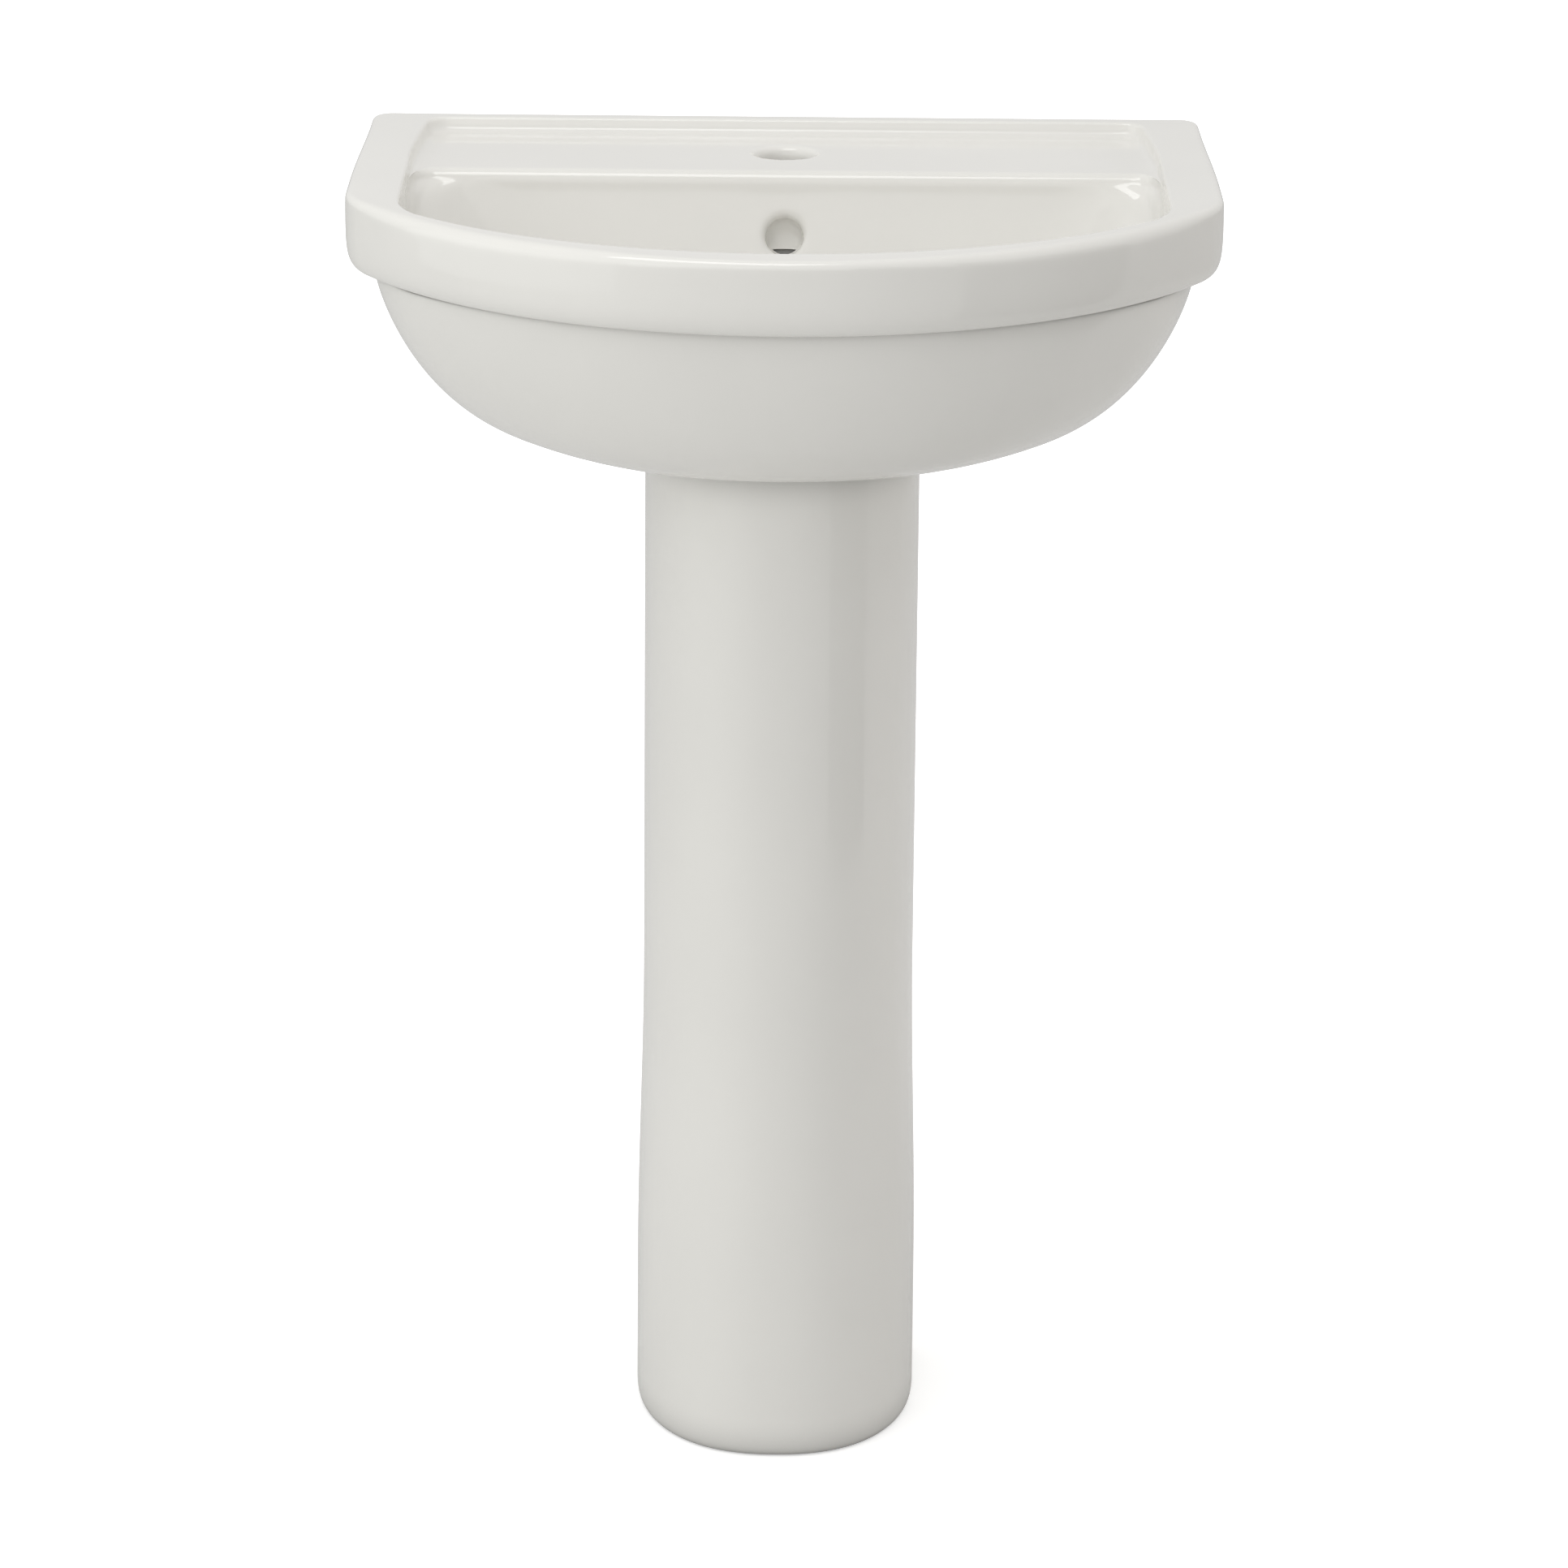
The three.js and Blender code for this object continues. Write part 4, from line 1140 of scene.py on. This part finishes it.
# ---- Trap: coupling at the top ----
# A ribbed polypropylene nut draws the trap's collar up to the tail over a flat
# rubber washer. It has eight broad ribs for the hand and fine ones between them.
ribs, taken, given = modelling_tree(
    "GripRibs", [("Count", "Int")] + [(label, "Float") for label in ("Radius", "Start", "Length", "Rib")])
circle = add_node(ribs, "GeometryNodeMeshCircle")
bar = add_node(ribs, "GeometryNodeMeshCone", {"Vertices": 16, "Side Segments": 1, "Fill Segments": 1})
slim = add_node(ribs, "ShaderNodeMath", {1: 0.7}, operation="MULTIPLY")
stood = add_node(ribs, "GeometryNodeInstanceOnPoints")
join(ribs, [
    (taken, "Count", circle, "Vertices"),
    (taken, "Radius", circle, "Radius"),
    (taken, "Rib", bar, "Radius Bottom"),
    (taken, "Rib", slim, 0),
    (slim, 0, bar, "Radius Top"),
    (taken, "Length", bar, "Depth"),
    (circle, "Mesh", stood, "Points"),
    (bar, "Mesh", stood, "Instance"),
])
end_tree(ribs, taken, given, stood, "Instances")


def ribbed(made, count, radius, start, length, rib):
    return worked(made, ribs, {"Count": count, "Material": plastic},
                  {"Radius": radius, "Start": start, "Length": length, "Rib": rib})


coupling = lathe("inlet_coupling_nut", [
    (25.4, 0), (26, 0), (27.5, 1.5), (27.5, 21), (25.8, 23.6), (23.5, 25), (21.3, 25), (21.3, 22), (25.4, 22),
], plastic, 0.5)
ribbed(coupling, 8, 27.3, 2, 18.5, 2.1)
ribbed(coupling, 64, 27.4, 3, 16.5, 0.5)
fitted(coupling, "trap_inlet_nut", "sink")
ring = lathe("inlet_washer", [(18.5, 0), (25, 0), (25, 2.4), (18.5, 2.4)], rubber, 0.35)
fitted(ring, "trap_inlet_washer", "sink")

# ---- Trap: body, cup and outlet ----
# The moulded head with its dip tube and threaded outlet spigot, and the cup that
# screws up under it against a seal, ribbed for the hand. A second nut grips the pipe.
head = lathe("trap_head", [
    (15, 0), (17.5, 0), (17.5, 70), (27, 70), (27, 58), (26.4, 36), (29, 36), (29, 48), (32, 48), (32, 82),
    (28, 90), (22, 94), (22, 107), (25, 109), (25, 115), (18.5, 115), (18.5, 78), (15, 74),
], plastic, 0.8, 128)


def lying(made, reach):
    """Lays a form along the outlet's line, its foot this far behind the trap's axis, in mm."""
    made.data.transform(Matrix.Translation((0, reach * MM, 68 * MM)) @ LAID_BACK)
    return made


spigot = lathe("spigot", [(0, 0), (18.4, 0), (18.4, 33), (17.8, 34), (0, 34)], plastic, 0.3)
carve(head, "UNION", lying(spigot, 28))
way = lathe("way", [(0, 0), (15.5, 0), (15.5, 48), (0, 48)], plastic, 0.0)
carve(head, "DIFFERENCE", lying(way, 22))
outlet_thread = lathe("outlet_thread", [(15.6, 8), (18.3, 8), (18.3, 33), (15.6, 33)], plastic, 0.3)
threaded(outlet_thread, plastic, 18.3, 10, 20, 7.0, 0.68)
lying(outlet_thread, 28)
shape = bmesh.new()
shape.from_mesh(head.data)
shape.from_mesh(outlet_thread.data)
shape.to_mesh(head.data)
shape.free()
bpy.data.objects.remove(outlet_thread)
ribbed(head, 4, 31, 50, 32, 0.9)
fitted(head, "trap_body", "sink", axis="trap_cup")

cup = lathe("trap_cup_moulded", [
    (0, 0), (3, 0.0), (3.6, 0.8), (20, 0.8), (21, 0), (27, 3), (29.4, 6), (30.5, 10), (31, 58), (33, 60),
    (33, 72), (29.4, 72), (29.4, 61), (26, 58), (26, 14), (23, 6), (0, 4),
], plastic, 0.8, 128)
ribbed(cup, 18, 30.9, 11, 30, 1.1)
fitted(cup, "trap_cup", "sink")
ring = lathe("cup_seal_ring", [(29.3, 0), (32.5, 0), (32.5, 1.4), (29.3, 1.4)], rubber, 0.4)
fitted(ring, "trap_cup_seal", "sink")

gland = lathe("outlet_compression_nut", [
    (19.4, 0), (21, 0), (22.5, 1.5), (22.5, 18), (21, 20.6), (18.5, 22), (16.6, 22), (16.6, 19), (19.4, 19),
], plastic, 0.5)
ribbed(gland, 8, 22.3, 2, 15.5, 2.1)
ribbed(gland, 52, 22.4, 3, 13.5, 0.5)
fitted(gland, "trap_outlet_nut", "sink", "Y")
ring = lathe("outlet_washer", [(16.4, 0), (19, 0), (19, 1.6), (18.2, 2.3), (16.4, 2.3)], rubber, 0.3)
fitted(ring, "trap_outlet_washer", "sink", "Y")

# ---- Waste pipe and wall plate ----
# A plain polypropylene pipe from the trap to the wall, and the dished plate that
# hides its hole.
run = length_of("waste_pipe", 1)
pipe = lathe("waste_pipe_length", [(13.5, 0), (14.8, 0), (15.2, 0.8), (15.2, run), (13.5, run)], plastic, 0.3)
fitted(pipe, "waste_pipe", "sink", "Y")
plate = lathe("wall_cover_plate", [
    (15.5, 0), (18, 0), (19.6, 1.2), (22, 4), (27, 6.6), (34, 9), (35.6, 10), (36, 11), (36, 12), (15.5, 12),
], plastic, 0.7, 128)
fitted(plate, "wall_plate", "sink", "Y")
